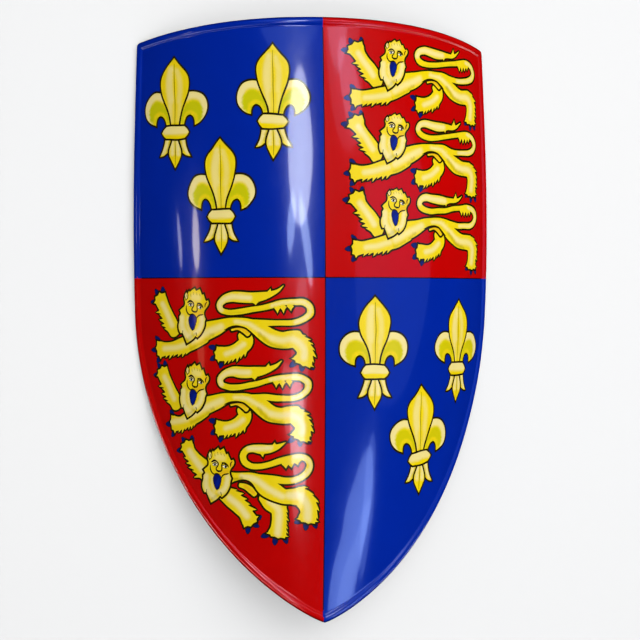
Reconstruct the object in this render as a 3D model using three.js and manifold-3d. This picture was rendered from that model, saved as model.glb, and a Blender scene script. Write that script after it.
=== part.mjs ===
// Heater shield of painted steel sheet, lying face up, with two leather arm straps behind it.
// Millimetres, +Z up, +X to the right as seen from the front, +Y towards the top edge.
// The origin is on the ground below the middle of the shield's box.
//
// The sheet is drawn flat first, in surface coordinates: u runs across the face from the middle
// line, v runs up the face from the point, and w stands out from the painted face.

import * as THREE from "three";
import { mergeVertices } from "three/addons/utils/BufferGeometryUtils.js";
import Module from "manifold-3d";

const wasm = await Module();
wasm.setup();

// Outline of the flat sheet
const FACE_LENGTH = 711; // from the point to the middle of the top edge
const HALF_GIRTH = 250.7; // from the middle line to the side, along the face
const SHOULDER = 358; // above this height the sides run nearly straight
const SIDE_CURVE = 1.907; // how the sides turn in below the shoulder
const POINT_BLUNTNESS = 0.831; // below 1 the point is rounded rather than pinched
const TOP_NARROWING = 11; // what each side loses from the shoulder to the top
const TOP_RISE = 23.8; // how far the top edge arches above its corners
const TOP_ARCH = 2.155; // 2 is a parabola, more is flatter in the middle
const CORNER_RADIUS = 5;
const SMALLEST_CORNER = 1.2;

// Bend of the sheet
const BEND_RADIUS = 279; // across the face, in the upper part
const BEND_RADIUS_AT_POINT = 167; // tighter towards the point
const BEND_EVEN_ABOVE = 546; // height from which the bend is even
const CREST_BOW = 18.6; // how far both ends lie back from the middle of the crest

// Sheet and raised rim
const SHEET = 1.6;
const RIM_WIDTH = 9.6;
const RIM_HEIGHT = 2.6;
const LIP = 2.8; // how far the edge turns back below the face
const SIDE_STEPS = 36;
const SIDE_CROWDING = 1.6; // above 1 the steps are shorter near the point
const HALF_TOP_STEPS = 12;
const CORNER_STEPS = 3;
const CELL = 21; // size of a facet inside the rim

// Straps and rivets
const GAP = 0.4; // between pieces that touch
const LEATHER = 3.2;
const TAB = 32; // length of each strap end that lies on the sheet
const HEAD_RADIUS = 6;
const HEAD_HEIGHT = 3;
const HEAD_EDGE = 0.5; // upright edge below the dome
const SHANK_RADIUS = 2.4;
const RIVET_OFFSET = 0.27; // from the middle of the strap, as a share of its width
const ROUND_SIDES = 16;
const STRAPS = [
  { name: "forearm_strap", across: 86, middle: 432, span: 216, reach: 68, width: 48 },
  { name: "hand_strap", across: -82, middle: 432, span: 176, reach: 46, width: 32 },
];

const CORNER_HEIGHT = FACE_LENGTH - TOP_RISE;

// Half the width of the flat sheet at height v: a closing curve up to the shoulder, then a slight taper.
function halfWidth(v) {
  const below = Math.max(1 - v / SHOULDER, 0);
  const closing = Math.max(1 - below ** SIDE_CURVE, 0) ** POINT_BLUNTNESS;
  const above = Math.max((v - SHOULDER) / (FACE_LENGTH - SHOULDER), 0);
  return HALF_GIRTH * closing - TOP_NARROWING * above ** 2;
}

// Height of the arched top edge at u, moved inwards by inset.
function topEdge(u, inset) {
  const across = Math.abs(u) / halfWidth(CORNER_HEIGHT);
  const slope = (TOP_RISE * TOP_ARCH * across ** (TOP_ARCH - 1)) / halfWidth(CORNER_HEIGHT);
  return CORNER_HEIGHT + TOP_RISE * (1 - across ** TOP_ARCH) - inset * Math.hypot(1, slope);
}

// Point of the right side at height v, moved inwards by inset.
function sideEdge(v, inset) {
  const step = Math.min(0.01, v / 2);
  const slope = (halfWidth(v + step) - halfWidth(v - step)) / (2 * step);
  const inwards = new THREE.Vector2(-1, slope).normalize();
  return new THREE.Vector2(halfWidth(v), v).addScaledVector(inwards, inset);
}

// Where a rising or falling function changes sign between low and high.
function crossing(low, high, f) {
  const startsNegative = f(low) < 0;
  let [a, b] = [low, high];
  for (let i = 0; i < 50; i += 1) {
    const middle = (a + b) / 2;
    if (f(middle) < 0 === startsNegative) a = middle;
    else b = middle;
  }
  return (a + b) / 2;
}

// The outline moved inwards by inset, anticlockwise from the point, with the same count at any inset.
function outline(inset) {
  const first = inset > 0 ? crossing(1e-6, SHOULDER, (v) => sideEdge(v, inset).x) : 0;
  const last = crossing(SHOULDER, FACE_LENGTH, (v) => {
    const side = sideEdge(v, inset);
    return side.y - topEdge(side.x, inset);
  });
  const corner = sideEdge(last, inset);
  const cut = Math.max(CORNER_RADIUS - inset, SMALLEST_CORNER);
  const right = [new THREE.Vector2(0, inset > 0 ? sideEdge(first, inset).y : 0)];
  for (let i = 1; i <= SIDE_STEPS; i += 1) {
    right.push(sideEdge(first + (last - cut - first) * (i / SIDE_STEPS) ** SIDE_CROWDING, inset));
  }
  const topStart = corner.x - cut;
  const bend = new THREE.QuadraticBezierCurve(
    right.at(-1), corner, new THREE.Vector2(topStart, topEdge(topStart, inset)));
  right.push(...bend.getPoints(CORNER_STEPS).slice(1));
  for (let i = 1; i <= HALF_TOP_STEPS; i += 1) {
    const u = topStart * (1 - i / HALF_TOP_STEPS);
    right.push(new THREE.Vector2(u, topEdge(u, inset)));
  }
  const left = right.slice(1, -1).reverse().map((p) => new THREE.Vector2(-p.x, p.y));
  return [...right, ...left];
}

function bendRadius(v) {
  const below = Math.max(1 - v / BEND_EVEN_ABOVE, 0);
  return BEND_RADIUS - (BEND_RADIUS - BEND_RADIUS_AT_POINT) * below ** 2;
}

// The flat point (u, v) on the bent face: an arc across, and a shallow parabola along the crest.
function onFace(u, v) {
  const radius = bendRadius(v);
  const crest = -CREST_BOW * (v / (FACE_LENGTH / 2) - 1) ** 2;
  return new THREE.Vector3(
    radius * Math.sin(u / radius), v, crest - radius * (1 - Math.cos(u / radius)));
}

// Directions across, along and out of the face at (u, v).
function faceAxes(u, v) {
  const across = onFace(u + 0.5, v).sub(onFace(u - 0.5, v)).normalize();
  const along = onFace(u, v + 0.5).sub(onFace(u, v - 0.5)).normalize();
  const out = new THREE.Vector3().crossVectors(across, along).normalize();
  return { across, along, out };
}

function standingOut(u, v, w) {
  return onFace(u, v).addScaledVector(faceAxes(u, v).out, w);
}

// Section of the rim from the face over the bead, round the lip and back along the inside:
// the distance from the outer edge, and the height above the face.
const RIM_SECTION = [
  [RIM_WIDTH, 0],
  [RIM_WIDTH - 0.7, RIM_HEIGHT * 0.36],
  [RIM_WIDTH * 0.78, RIM_HEIGHT * 0.78],
  [RIM_WIDTH * 0.56, RIM_HEIGHT],
  [RIM_WIDTH * 0.34, RIM_HEIGHT * 0.95],
  [RIM_WIDTH * 0.14, RIM_HEIGHT * 0.62],
  [0.2, 0],
  [0, -LIP],
  [SHEET, -LIP],
  [SHEET + 0.2, -SHEET * 0.5],
  [RIM_WIDTH * 0.36, RIM_HEIGHT - SHEET - 0.3],
  [RIM_WIDTH * 0.62, RIM_HEIGHT - SHEET - 0.2],
  [RIM_WIDTH + 0.5, -SHEET],
];

// The pressed sheet, as one closed solid.
function shieldGeometry() {
  const positions = [];
  const across = [];
  const triangles = [];
  const vertex = (u, v, w) => {
    across.push(u);
    return positions.push(standingOut(u, v, w)) - 1;
  };

  // Joins two rows of vertices, the first below the second, whatever their counts.
  function bridge(below, above, faceOut) {
    let [i, j] = [0, 0];
    while (i < below.length - 1 || j < above.length - 1) {
      const nextBelow = i < below.length - 1 ? across[below[i + 1]] : Infinity;
      const nextAbove = j < above.length - 1 ? across[above[j + 1]] : Infinity;
      const goBelow = nextBelow < nextAbove;
      const corners = goBelow
        ? [below[i], below[i + 1], above[j]]
        : [below[i], above[j + 1], above[j]];
      if (new Set(corners).size === 3) triangles.push(...(faceOut ? corners : corners.reverse()));
      if (goBelow) i += 1;
      else j += 1;
    }
  }

  // Fills the inside of a ring with rows of facets.
  function fill(ring, flat, w, faceOut) {
    let below = [ring[0]];
    for (let i = 1; i <= SIDE_STEPS; i += 1) {
      const side = flat[i];
      const cells = Math.max(1, Math.round((2 * side.x) / CELL));
      const row = [ring[ring.length - i]];
      for (let k = 1; k < cells; k += 1) row.push(vertex(side.x * ((2 * k) / cells - 1), side.y, w));
      row.push(ring[i]);
      bridge(below, row, faceOut);
      below = row;
    }
    const top = ring.slice(SIDE_STEPS, ring.length - SIDE_STEPS + 1).reverse();
    bridge(below, top, faceOut);
  }

  const flats = RIM_SECTION.map(([inset]) => outline(inset));
  const rings = flats.map((flat, k) => flat.map((p) => vertex(p.x, p.y, RIM_SECTION[k][1])));
  for (let k = 1; k < rings.length; k += 1) {
    const [inner, outer] = [rings[k - 1], rings[k]];
    outer.forEach((corner, i) => {
      const next = (i + 1) % outer.length;
      triangles.push(corner, outer[next], inner[next], corner, inner[next], inner[i]);
    });
  }
  fill(rings[0], flats[0], 0, true);
  fill(rings.at(-1), flats.at(-1), -SHEET, false);

  const geometry = new THREE.BufferGeometry().setFromPoints(positions);
  geometry.setIndex(triangles);
  return geometry;
}

function toManifold(geometry) {
  const bare = geometry.clone();
  bare.deleteAttribute("normal");
  bare.deleteAttribute("uv");
  const merged = mergeVertices(bare, 1e-4);
  return new wasm.Manifold(new wasm.Mesh({
    numProp: 3,
    vertProperties: new Float32Array(merged.attributes.position.array),
    triVerts: new Uint32Array(merged.index.array),
  }));
}

function fromManifold(solid) {
  const mesh = solid.getMesh();
  const geometry = new THREE.BufferGeometry();
  geometry.setAttribute("position", new THREE.BufferAttribute(mesh.vertProperties, 3));
  geometry.setIndex(new THREE.BufferAttribute(mesh.triVerts, 1));
  return geometry;
}

// A place in the hollow behind the face: a across the strap, v up the face, depth below the sheet.
// Close to the sheet the strap takes the sheet's bend, and away from it the strap is flat.
function behindSheet(strap, a, v, depth) {
  const { across, out } = faceAxes(strap.across, v);
  const follow = Math.max(1 - depth / (4 * LEATHER), 0);
  const bend = (a ** 2 / (2 * bendRadius(v))) * follow;
  return onFace(strap.across, v)
    .addScaledVector(across, a)
    .addScaledVector(out, -(SHEET + GAP + bend + depth));
}

// Side view of a strap: it lies on the sheet at both ends and hangs in a bow between them.
function strapShape(strap) {
  const half = strap.span / 2;
  const foot = half - TAB;
  const path = new THREE.Path();
  path.moveTo(-half, 0);
  path.lineTo(-foot, 0);
  path.bezierCurveTo(-foot + 20, 0, -foot + 4, strap.reach, 0, strap.reach);
  path.bezierCurveTo(foot - 4, strap.reach, foot - 20, 0, foot, 0);
  path.lineTo(half, 0);
  const line = path.getPoints(12);
  const inner = [];
  const outer = [];
  line.forEach((p, i) => {
    const tangent = line[Math.min(i + 1, line.length - 1)].clone()
      .sub(line[Math.max(i - 1, 0)]).normalize();
    const away = new THREE.Vector2(-tangent.y, tangent.x);
    inner.push(p.clone());
    outer.push(p.clone().addScaledVector(away, LEATHER));
  });
  return new THREE.Shape([...inner, ...outer.reverse()]);
}

// Rivets stand in pairs on the two strap ends.
function rivetPlaces(strap) {
  const half = strap.span / 2;
  return [-1, 1].flatMap((end) => [-1, 1].map((side) => ({
    a: side * strap.width * RIVET_OFFSET,
    v: strap.middle + end * (half - TAB / 2),
  })));
}

function rivetFrame(strap, place, depth) {
  const { across, along, out } = faceAxes(strap.across, place.v);
  const frame = new THREE.Matrix4().makeBasis(across, along.negate(), out.negate());
  return frame.setPosition(behindSheet(strap, place.a, place.v, 0).addScaledVector(out, depth));
}

function strapGeometry(strap) {
  const geometry = new THREE.ExtrudeGeometry(strapShape(strap), {
    depth: strap.width, steps: 2, bevelEnabled: false,
  });
  const place = geometry.attributes.position;
  for (let i = 0; i < place.count; i += 1) {
    const moved = behindSheet(
      strap, strap.width / 2 - place.getZ(i), strap.middle + place.getX(i), place.getY(i));
    place.setXYZ(i, moved.x, moved.y, moved.z);
  }
  let solid = toManifold(geometry);
  for (const rivet of rivetPlaces(strap)) {
    const drill = new THREE.CylinderGeometry(
      SHANK_RADIUS + GAP, SHANK_RADIUS + GAP, 3 * LEATHER, ROUND_SIDES);
    drill.rotateX(Math.PI / 2);
    drill.applyMatrix4(rivetFrame(strap, rivet, LEATHER / 2));
    solid = solid.subtract(toManifold(drill));
  }
  return fromManifold(solid);
}

// A shank from the sheet through the leather, and a low dome over it.
function rivetGeometry() {
  const underHead = LEATHER + 2 * GAP;
  const profile = [new THREE.Vector2(0, GAP), new THREE.Vector2(SHANK_RADIUS, GAP)];
  profile.push(new THREE.Vector2(SHANK_RADIUS, underHead), new THREE.Vector2(HEAD_RADIUS, underHead));
  for (let i = 1; i <= 4; i += 1) {
    const turn = (i / 4) * (Math.PI / 2);
    profile.push(new THREE.Vector2(
      i < 4 ? HEAD_RADIUS * Math.cos(turn) : 0, underHead + HEAD_EDGE + HEAD_HEIGHT * Math.sin(turn)));
  }
  profile.splice(4, 0, new THREE.Vector2(HEAD_RADIUS, underHead + HEAD_EDGE));
  const geometry = new THREE.LatheGeometry(profile, ROUND_SIDES);
  geometry.rotateX(Math.PI / 2);
  return geometry;
}

// The tilt about X at which the top corners and the lower sides touch the ground together.
function restingTilt(geometry) {
  const place = geometry.attributes.position;
  const lowest = (tilt, wanted) => {
    let low = Infinity;
    for (let i = 0; i < place.count; i += 1) {
      const height = place.getY(i) * Math.sin(tilt) + place.getZ(i) * Math.cos(tilt);
      if (wanted(place.getY(i))) low = Math.min(low, height);
    }
    return low;
  };
  const split = FACE_LENGTH * 0.7;
  return crossing(-0.1, 0.1, (tilt) => lowest(tilt, (y) => y > split) - lowest(tilt, (y) => y <= split));
}

const enamel = new THREE.MeshStandardMaterial({ color: 0x1a34a8, roughness: 0.25, metalness: 0.1 });
const leather = new THREE.MeshStandardMaterial({ color: 0x4a2d1a, roughness: 0.7, metalness: 0 });
const steel = new THREE.MeshStandardMaterial({ color: 0x9a9c9e, roughness: 0.35, metalness: 1 });

function named(name, geometry, material) {
  const mesh = new THREE.Mesh(geometry, material.clone());
  mesh.name = name;
  return mesh;
}

const lying = new THREE.Group();
const shield = named("shield", shieldGeometry(), enamel);
lying.add(shield);

for (const strap of STRAPS) {
  lying.add(named(strap.name, strapGeometry(strap), leather));
  rivetPlaces(strap).forEach((place, i) => {
    const rivet = named(`${strap.name}_rivet_${i + 1}`, rivetGeometry(), steel);
    rivet.applyMatrix4(rivetFrame(strap, place, 0));
    lying.add(rivet);
  });
}

lying.rotation.x = restingTilt(shield.geometry);
lying.updateMatrixWorld(true);
const box = new THREE.Box3().setFromObject(shield, true);
lying.position.set(-(box.min.x + box.max.x) / 2, -(box.min.y + box.max.y) / 2, -box.min.z);

const part = new THREE.Group();
part.add(lying);
export default part;
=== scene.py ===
"""Heater shield of painted steel sheet, lying face up, with leather arm straps behind it.

Lengths in the formulas are millimetres, and meshes are in metres. The sheet is worked out flat
first: u runs across the face from the middle line, v runs up the face from the point, and a
height stands out from the painted face. Then it is bent, tilted to its rest and set down.
"""

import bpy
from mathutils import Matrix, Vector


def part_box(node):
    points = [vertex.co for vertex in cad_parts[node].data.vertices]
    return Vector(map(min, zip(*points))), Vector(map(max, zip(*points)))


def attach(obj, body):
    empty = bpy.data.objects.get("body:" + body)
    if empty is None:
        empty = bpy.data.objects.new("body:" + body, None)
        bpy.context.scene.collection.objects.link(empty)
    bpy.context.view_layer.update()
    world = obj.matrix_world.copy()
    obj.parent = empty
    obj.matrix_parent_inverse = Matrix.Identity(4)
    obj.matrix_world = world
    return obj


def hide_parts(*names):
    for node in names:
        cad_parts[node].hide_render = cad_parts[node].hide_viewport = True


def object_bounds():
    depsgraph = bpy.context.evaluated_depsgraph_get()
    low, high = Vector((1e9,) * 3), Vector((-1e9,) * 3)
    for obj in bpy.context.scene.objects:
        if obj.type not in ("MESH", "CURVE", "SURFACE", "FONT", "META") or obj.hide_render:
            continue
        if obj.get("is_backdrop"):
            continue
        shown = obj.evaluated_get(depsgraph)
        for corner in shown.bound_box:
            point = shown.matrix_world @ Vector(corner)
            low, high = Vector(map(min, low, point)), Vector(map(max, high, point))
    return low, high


bl_info = {
    "name": "Heater shield",
    "version": (1, 0, 0),
    "blender": (4, 5, 0),
    "location": "3D View > Sidebar > Shield",
    "description": "Builds the painted heater shield, its straps and rivets, and the studio",
    "category": "Add Mesh",
}

import bpy
import numpy as np
from mathutils import Matrix, Vector
from mathutils.geometry import delaunay_2d_cdt

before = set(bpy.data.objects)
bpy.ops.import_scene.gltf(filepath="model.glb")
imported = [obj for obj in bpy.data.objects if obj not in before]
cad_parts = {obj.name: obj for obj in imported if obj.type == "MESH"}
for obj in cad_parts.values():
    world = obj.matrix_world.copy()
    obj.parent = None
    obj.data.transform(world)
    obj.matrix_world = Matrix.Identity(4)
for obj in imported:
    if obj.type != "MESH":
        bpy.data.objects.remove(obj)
CAD_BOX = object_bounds()

# Outline of the flat sheet
FACE_LENGTH = 711
HALF_GIRTH = 250.7
SHOULDER = 358
SIDE_CURVE = 1.907
POINT_BLUNTNESS = 0.831
TOP_NARROWING = 11
TOP_RISE = 23.8
TOP_ARCH = 2.155
CORNER_RADIUS = 5
SMALLEST_CORNER = 1.2
CORNER_HEIGHT = FACE_LENGTH - TOP_RISE

# Points along the outline: up a side, where they crowd towards the tip, round a corner, and
# over the top
SIDE_POINTS = 151
SIDE_CROWDING = 1.6
CORNER_POINTS = 7
TOP_POINTS = 99

# Bend of the sheet
BEND_RADIUS = 279
BEND_RADIUS_AT_POINT = 167
BEND_EVEN_ABOVE = 546
CREST_BOW = 18.6
REST_TILT = np.radians(0.6406)

# Sheet, and its edge: the lip's depth below the face, and the height at which the rim is widest
SHEET = 1.6
LIP = 2.8
WIDEST_RIM = 0.3

# Straps: the gap between pieces that touch, the leather's thickness, the length of a strap's flat
# ends, and each strap's place across the face, middle height, span, reach of its bow, and width
GAP = 0.4
LEATHER = 3.2
TAB = 32
STRAPS = {
    "forearm_strap": {"across": 86, "middle": 432, "span": 216, "reach": 68, "width": 48},
    "hand_strap": {"across": -82, "middle": 432, "span": 176, "reach": 46, "width": 32},
}

# Rivets: how far they stand from the strap's middle line as a share of its width, the shank, and
# the head's radius, dome and upright edge
RIVET_OFFSET = 0.27
SHANK_RADIUS = 2.4
HEAD_RADIUS = 6.0
HEAD_HEIGHT = 3.0
HEAD_EDGE = 0.5

# Distance to both sides over which the slope of the face is measured
SLOPE_STEP = 0.5

# Waves that hand work leaves in the sheet: seed, count, longest and shortest
HAND_WAVES = (4, 7, 330, 70)

# Shallow dents from use: across, up, radius, and depth
DENTS = [
    (-30, 500, 40, 0.12), (-52, 560, 34, 0.15), (38, 118, 30, 0.2), (62, 168, 36, 0.2),
]

# Painted quarters: the two lines that part them, their width, and how far inside the edge they end
PALE_LINE = -2.3
FESS_LINE = 405.4
PARTING = 1.2
PARTING_INSET = 12.6
UPRIGHT_POINTS = 180
LEVEL_POINTS = 120

PAINTS = {
    "blue": "#0030A4",
    "red": "#C40403",
    "gold": "#F2D81E",
    "cream": "#F4E49C",
    "bright": "#F2D800",
    "lime": "#D8CC10",
    "leaf": "#D0CC14",
    "olive": "#9C8C08",
    "orange": "#E8B020",
    "ink": "#2C2608",
    "parting": "#1C1420",
    "claw": "#16246E",
    "tongue": "#10207E",
    "white": "#F4EEDC",
    "edge": "#141018",
}


def linear(hex_colour):
    """The colour as linear light: each sRGB channel through the sRGB curve."""
    srgb = np.array([int(hex_colour[i : i + 2], 16) for i in (1, 3, 5)]) / 255
    return np.where(srgb <= 0.04045, srgb / 12.92, ((srgb + 0.055) / 1.055) ** 2.4)


def half_width(v):
    """A closing curve up to the shoulder, less a slight taper above it."""
    below = np.maximum(1 - v / SHOULDER, 0)
    above = np.maximum((v - SHOULDER) / (FACE_LENGTH - SHOULDER), 0)
    closing = np.maximum(1 - below**SIDE_CURVE, 0) ** POINT_BLUNTNESS
    return HALF_GIRTH * closing - TOP_NARROWING * above**2


def top_edge(u, inset):
    """Height of the arched top edge, lowered by the inset measured square to the edge."""
    widest = half_width(CORNER_HEIGHT)
    across = np.abs(u) / widest
    slope = TOP_RISE * TOP_ARCH * across ** (TOP_ARCH - 1) / widest
    return CORNER_HEIGHT + TOP_RISE * (1 - across**TOP_ARCH) - inset * np.hypot(1, slope)


def side_edge(v, inset):
    """The right side at height v, moved inwards along the normal of its slope."""
    step = np.minimum(0.01, v / 2)
    slope = (half_width(v + step) - half_width(v - step)) / (2 * step)
    size = np.hypot(1, slope)
    return np.stack([half_width(v) - inset / size, v + inset * slope / size], -1)


def crossing(low, high, f):
    """Halves the range until the place where f changes sign is found."""
    starts_negative = f(low) < 0
    for _ in range(50):
        middle = (low + high) / 2
        if (f(middle) < 0) == starts_negative:
            low = middle
        else:
            high = middle
    return (low + high) / 2


def outline(inset):
    """The outline moved inwards, anticlockwise from the point, with the same count at any inset.

    The side's heights crowd towards the point as a power of their share, the corner is a
    quadratic curve, and the top is spaced evenly. The steps next to the parting lines sit on them.
    """
    first = crossing(1e-6, SHOULDER, lambda v: side_edge(v, inset)[0]) if inset > 0 else 1e-6
    last = crossing(
        SHOULDER, FACE_LENGTH,
        lambda v: side_edge(v, inset)[1] - top_edge(side_edge(v, inset)[0], inset),
    )
    corner = side_edge(last, inset)
    cut = max(CORNER_RADIUS - inset, SMALLEST_CORNER)
    heights = first + (last - cut - first) * np.linspace(0, 1, SIDE_POINTS) ** SIDE_CROWDING
    heights[np.argmin(np.abs(heights - FESS_LINE))] = FESS_LINE
    side = side_edge(heights, inset)
    side[0, 0] = 0
    top_start = corner[0] - cut
    across = np.linspace(top_start, -top_start, TOP_POINTS)
    across[np.argmin(np.abs(across - PALE_LINE))] = PALE_LINE
    top = np.stack([across, top_edge(across, inset)], 1)
    t = np.linspace(0, 1, CORNER_POINTS)[1:-1, None]
    bend = (1 - t) ** 2 * side[-1] + 2 * t * (1 - t) * corner + t**2 * top[0]
    left = np.concatenate([side[1:], bend])[::-1] * (-1, 1)
    return np.concatenate([side, bend, top, left])


def bend_radius(v):
    """Even in the upper part, and tighter towards the point as a square below it."""
    below = np.maximum(1 - v / BEND_EVEN_ABOVE, 0)
    return BEND_RADIUS - (BEND_RADIUS - BEND_RADIUS_AT_POINT) * below**2


def on_face(u, v):
    """The flat point on the bent face: an arc across, and a shallow parabola along the crest."""
    u, v = np.broadcast_arrays(np.asarray(u, float), np.asarray(v, float))
    radius = bend_radius(v)
    crest = -CREST_BOW * (v / (FACE_LENGTH / 2) - 1) ** 2
    z = crest - radius * (1 - np.cos(u / radius))
    return np.stack([radius * np.sin(u / radius), v, z], -1)


def unit(a):
    """Each vector over its length."""
    return a / (np.linalg.norm(a, axis=-1, keepdims=True) + 1e-12)


def face_axes(u, v):
    """Directions across, along and out of the face, from differences over the slope step."""
    across = unit(on_face(u + SLOPE_STEP, v) - on_face(u - SLOPE_STEP, v))
    along = unit(on_face(u, v + SLOPE_STEP) - on_face(u, v - SLOPE_STEP))
    return across, along, unit(np.cross(across, along))


def waves(u, v, seed, count, longest, shortest):
    """Mean of slow sine waves with seeded directions and lengths, between -1 and 1."""
    rng = np.random.default_rng(seed)
    turn = rng.uniform(0, np.pi, count)
    length = np.geomspace(longest, shortest, count)
    start = rng.uniform(0, 2 * np.pi, count)
    run = (u[..., None] * np.cos(turn) + v[..., None] * np.sin(turn)) * 2 * np.pi / length
    return np.mean(np.sin(run + start), -1)


def front(u, v, height, hollow):
    """A place over the painted face. Hand work leaves the sheet slightly uneven, always inwards,
    and each dent is a bell curve of its distance over its radius."""
    uneven = hollow * (waves(u, v, *HAND_WAVES) - 1)
    for across, up, radius, depth in DENTS:
        bell = np.exp(-((u - across) ** 2 + (v - up) ** 2) / radius**2)
        uneven = uneven - depth * bell * (hollow > 0)
    return on_face(u, v) + face_axes(u, v)[2] * (height + uneven)[..., None]


def behind_sheet(strap, a, v, depth):
    """A place in the hollow: a across the strap, v up the face, and a depth below the sheet.

    Close to the sheet the strap takes the sheet's bend, and away from it the strap is flat.
    """
    a, v, depth = np.broadcast_arrays(a, v, depth)
    across, _, out = face_axes(strap["across"], v)
    follow = np.maximum(1 - depth / (4 * LEATHER), 0)
    bend = a**2 / (2 * bend_radius(v)) * follow
    down = SHEET + GAP + bend + depth
    return on_face(strap["across"], v) + across * a[..., None] - out * down[..., None]


def set_down():
    """The shift that follows the tilt, so that the shield's box stands where the frame has it."""
    low, high = np.array(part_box("shield")) * 1000
    u, v = outline(0).T
    out = face_axes(u, v)[2]
    lip = tilted(on_face(u, v) - out * LIP)
    rim = tilted(on_face(u, v) + out * WIDEST_RIM)
    shift_y = (low[1] + high[1] - rim[:, 1].min() - rim[:, 1].max()) / 2
    return np.array([0, shift_y, low[2] - lip[:, 2].min()])


def tilted(p):
    """Turned about the line across the shield, to the angle at which it rests."""
    c, s = np.cos(REST_TILT), np.sin(REST_TILT)
    return np.stack([p[..., 0], p[..., 1] * c - p[..., 2] * s, p[..., 1] * s + p[..., 2] * c], -1)


REST_SHIFT = set_down()


def at_rest(p):
    """The place in the frame, in metres."""
    return (tilted(p) + REST_SHIFT) / 1000


# The dark line round every figure, and the spacing of points along a painted edge
INK = 2.3
STEP = 1.5


def cross2(a, b):
    """Cross product of flat vectors: positive where b lies to the left of a."""
    return a[..., 0] * b[..., 1] - a[..., 1] * b[..., 0]


def smooth(points, step=STEP):
    """Smooth line through the points: cubic Hermite pieces over chord length, where each tangent
    is the slope between the two neighbouring points."""
    p = np.asarray(points, float)
    t = np.append(0.0, np.cumsum(np.hypot(*np.diff(p[:, :2], axis=0).T)))
    slope = np.gradient(p, t, axis=0)
    at = np.linspace(0, t[-1], max(int(np.ceil(t[-1] / step)), 2) + 1)
    k = np.clip(np.searchsorted(t, at, side="right") - 1, 0, len(t) - 2)
    h = (t[k + 1] - t[k])[:, None]
    x = (at - t[k])[:, None] / h
    return (
        (1 + 2 * x) * (1 - x) ** 2 * p[k]
        + x * (1 - x) ** 2 * h * slope[k]
        + x**2 * (3 - 2 * x) * p[k + 1]
        + x**2 * (x - 1) * h * slope[k + 1]
    )


def closed(*runs):
    """Closed outline of smooth runs with corners between them. Each starts where the last ended."""
    lines = []
    start = runs[-1][-1]
    for run in runs:
        line = smooth([start, *run]) if len(run) > 1 else np.array([start, run[0]], float)
        lines.append(line[:-1])
        start = run[-1]
    return np.concatenate(lines)


def saw(count, low, high, depth):
    """Teeth of fur along a side: distance along it and height, each tooth leaning forward, and
    their sizes varied by a sine."""
    pitch = (high - low) / count
    k = np.arange(count)
    size = depth * (0.85 + 0.3 * np.sin(2.4 * k + low))
    steps = ((0.0, 0.0), (0.45, 0.3), (0.9, 0.75), (1.2, 1.0), (1.02, 0.35))
    teeth = [np.stack([low + pitch * (k + run), size * rise], 1) for run, rise in steps]
    return np.stack(teeth, 1).reshape(-1, 2)


def limb(spine, fur=(), cap=0.6, tips=0):
    """Outline of a tapered stroke: a smooth spine offset by its half width to both sides.

    Its ends are half ellipses, as long as the cap's share of the half width. Tips of fur on the
    far one stand out by 28 percent. Teeth of fur stand on stretches of a side, each given as
    side, from, to, count and depth.
    """
    line = smooth(spine, 0.8)
    along = unit(np.gradient(line[:, :2], axis=0))
    normal = np.stack([-along[:, 1], along[:, 0]], 1)
    s = np.append(0.0, np.cumsum(np.hypot(*np.diff(line[:, :2], axis=0).T)))
    edges = []
    for side in (1, -1):
        table = np.arange(0, s[-1] + STEP / 2, STEP)[:, None] * (1, 0)
        for fur_side, start, end, count, depth in fur:
            if fur_side == side:
                low, high = start * s[-1], end * s[-1]
                before, after = table[table[:, 0] < low], table[table[:, 0] > high]
                table = np.concatenate([before, saw(count, low, high, depth), after])
        at = np.stack([np.interp(table[:, 0], s, c) for c in (*line.T, *normal.T)], 1)
        edges.append(at[:, :2] + side * (at[:, 2] + table[:, 1])[:, None] * at[:, 3:])
    plain_end = (np.linspace(0, np.pi, 9)[1:-1, None], 1)
    tip = np.arange(2 * tips)[:, None]
    far_end = (np.pi * (tip + 0.5) / (2 * tips), 1 + 0.28 * (tip % 2 == 0)) if tips else plain_end
    ends = []
    for i, sign, (arc, swell) in ((-1, 1, far_end), (0, -1, plain_end)):
        across = sign * normal[i]
        forward = sign * np.array([normal[i, 1], -normal[i, 0]])
        ellipse = across * np.cos(arc) + forward * cap * np.sin(arc)
        ends.append(line[i, :2] + line[i, 2] * swell * ellipse)
    return np.concatenate([edges[0], ends[0], edges[1][::-1], ends[1]])


def grown(shape, by):
    """The outline pushed outwards by a distance along the mean normal of its neighbours, which
    is lengthened to keep the distance at corners, within a limit at sharp ones."""
    ahead = unit(np.roll(shape, -1, axis=0) - shape)
    normal = np.stack([ahead[:, 1], -ahead[:, 0]], 1)
    mean = normal + np.roll(normal, 1, axis=0)
    mean /= np.maximum((mean**2).sum(1) / 2, 0.6)[:, None]
    return shape + mean * by * np.sign(cross2(shape, np.roll(shape, -1, axis=0)).sum())


def oval(x, y, rx, ry, tilt=0.0):
    """An ellipse of 14 points about (x, y), tilted by degrees."""
    turn = np.linspace(0, 2 * np.pi, 14, endpoint=False)
    c, s = np.cos(np.radians(tilt)), np.sin(np.radians(tilt))
    px, py = rx * np.cos(turn), ry * np.sin(turn)
    return np.stack([x + px * c - py * s, y + px * s + py * c], 1)


def touch(points, radius, paint, strength=1.0, edge=0.4):
    """A soft brush stroke: full strength near its line, and fading out at its radius."""
    line = smooth(points, 4) if len(points) > 1 else np.asarray(points, float)
    return line, radius, paint, strength, edge


def turned(q, degrees):
    """Turned anticlockwise about the origin."""
    c, s = np.cos(np.radians(degrees)), np.sin(np.radians(degrees))
    return q @ np.array([[c, s], [-s, c]])


def with_mirror_image(half):
    """An outline from its right half, which ends on the middle line."""
    return np.concatenate([half, (half * (-1, 1))[::-1][1:]])


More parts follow.
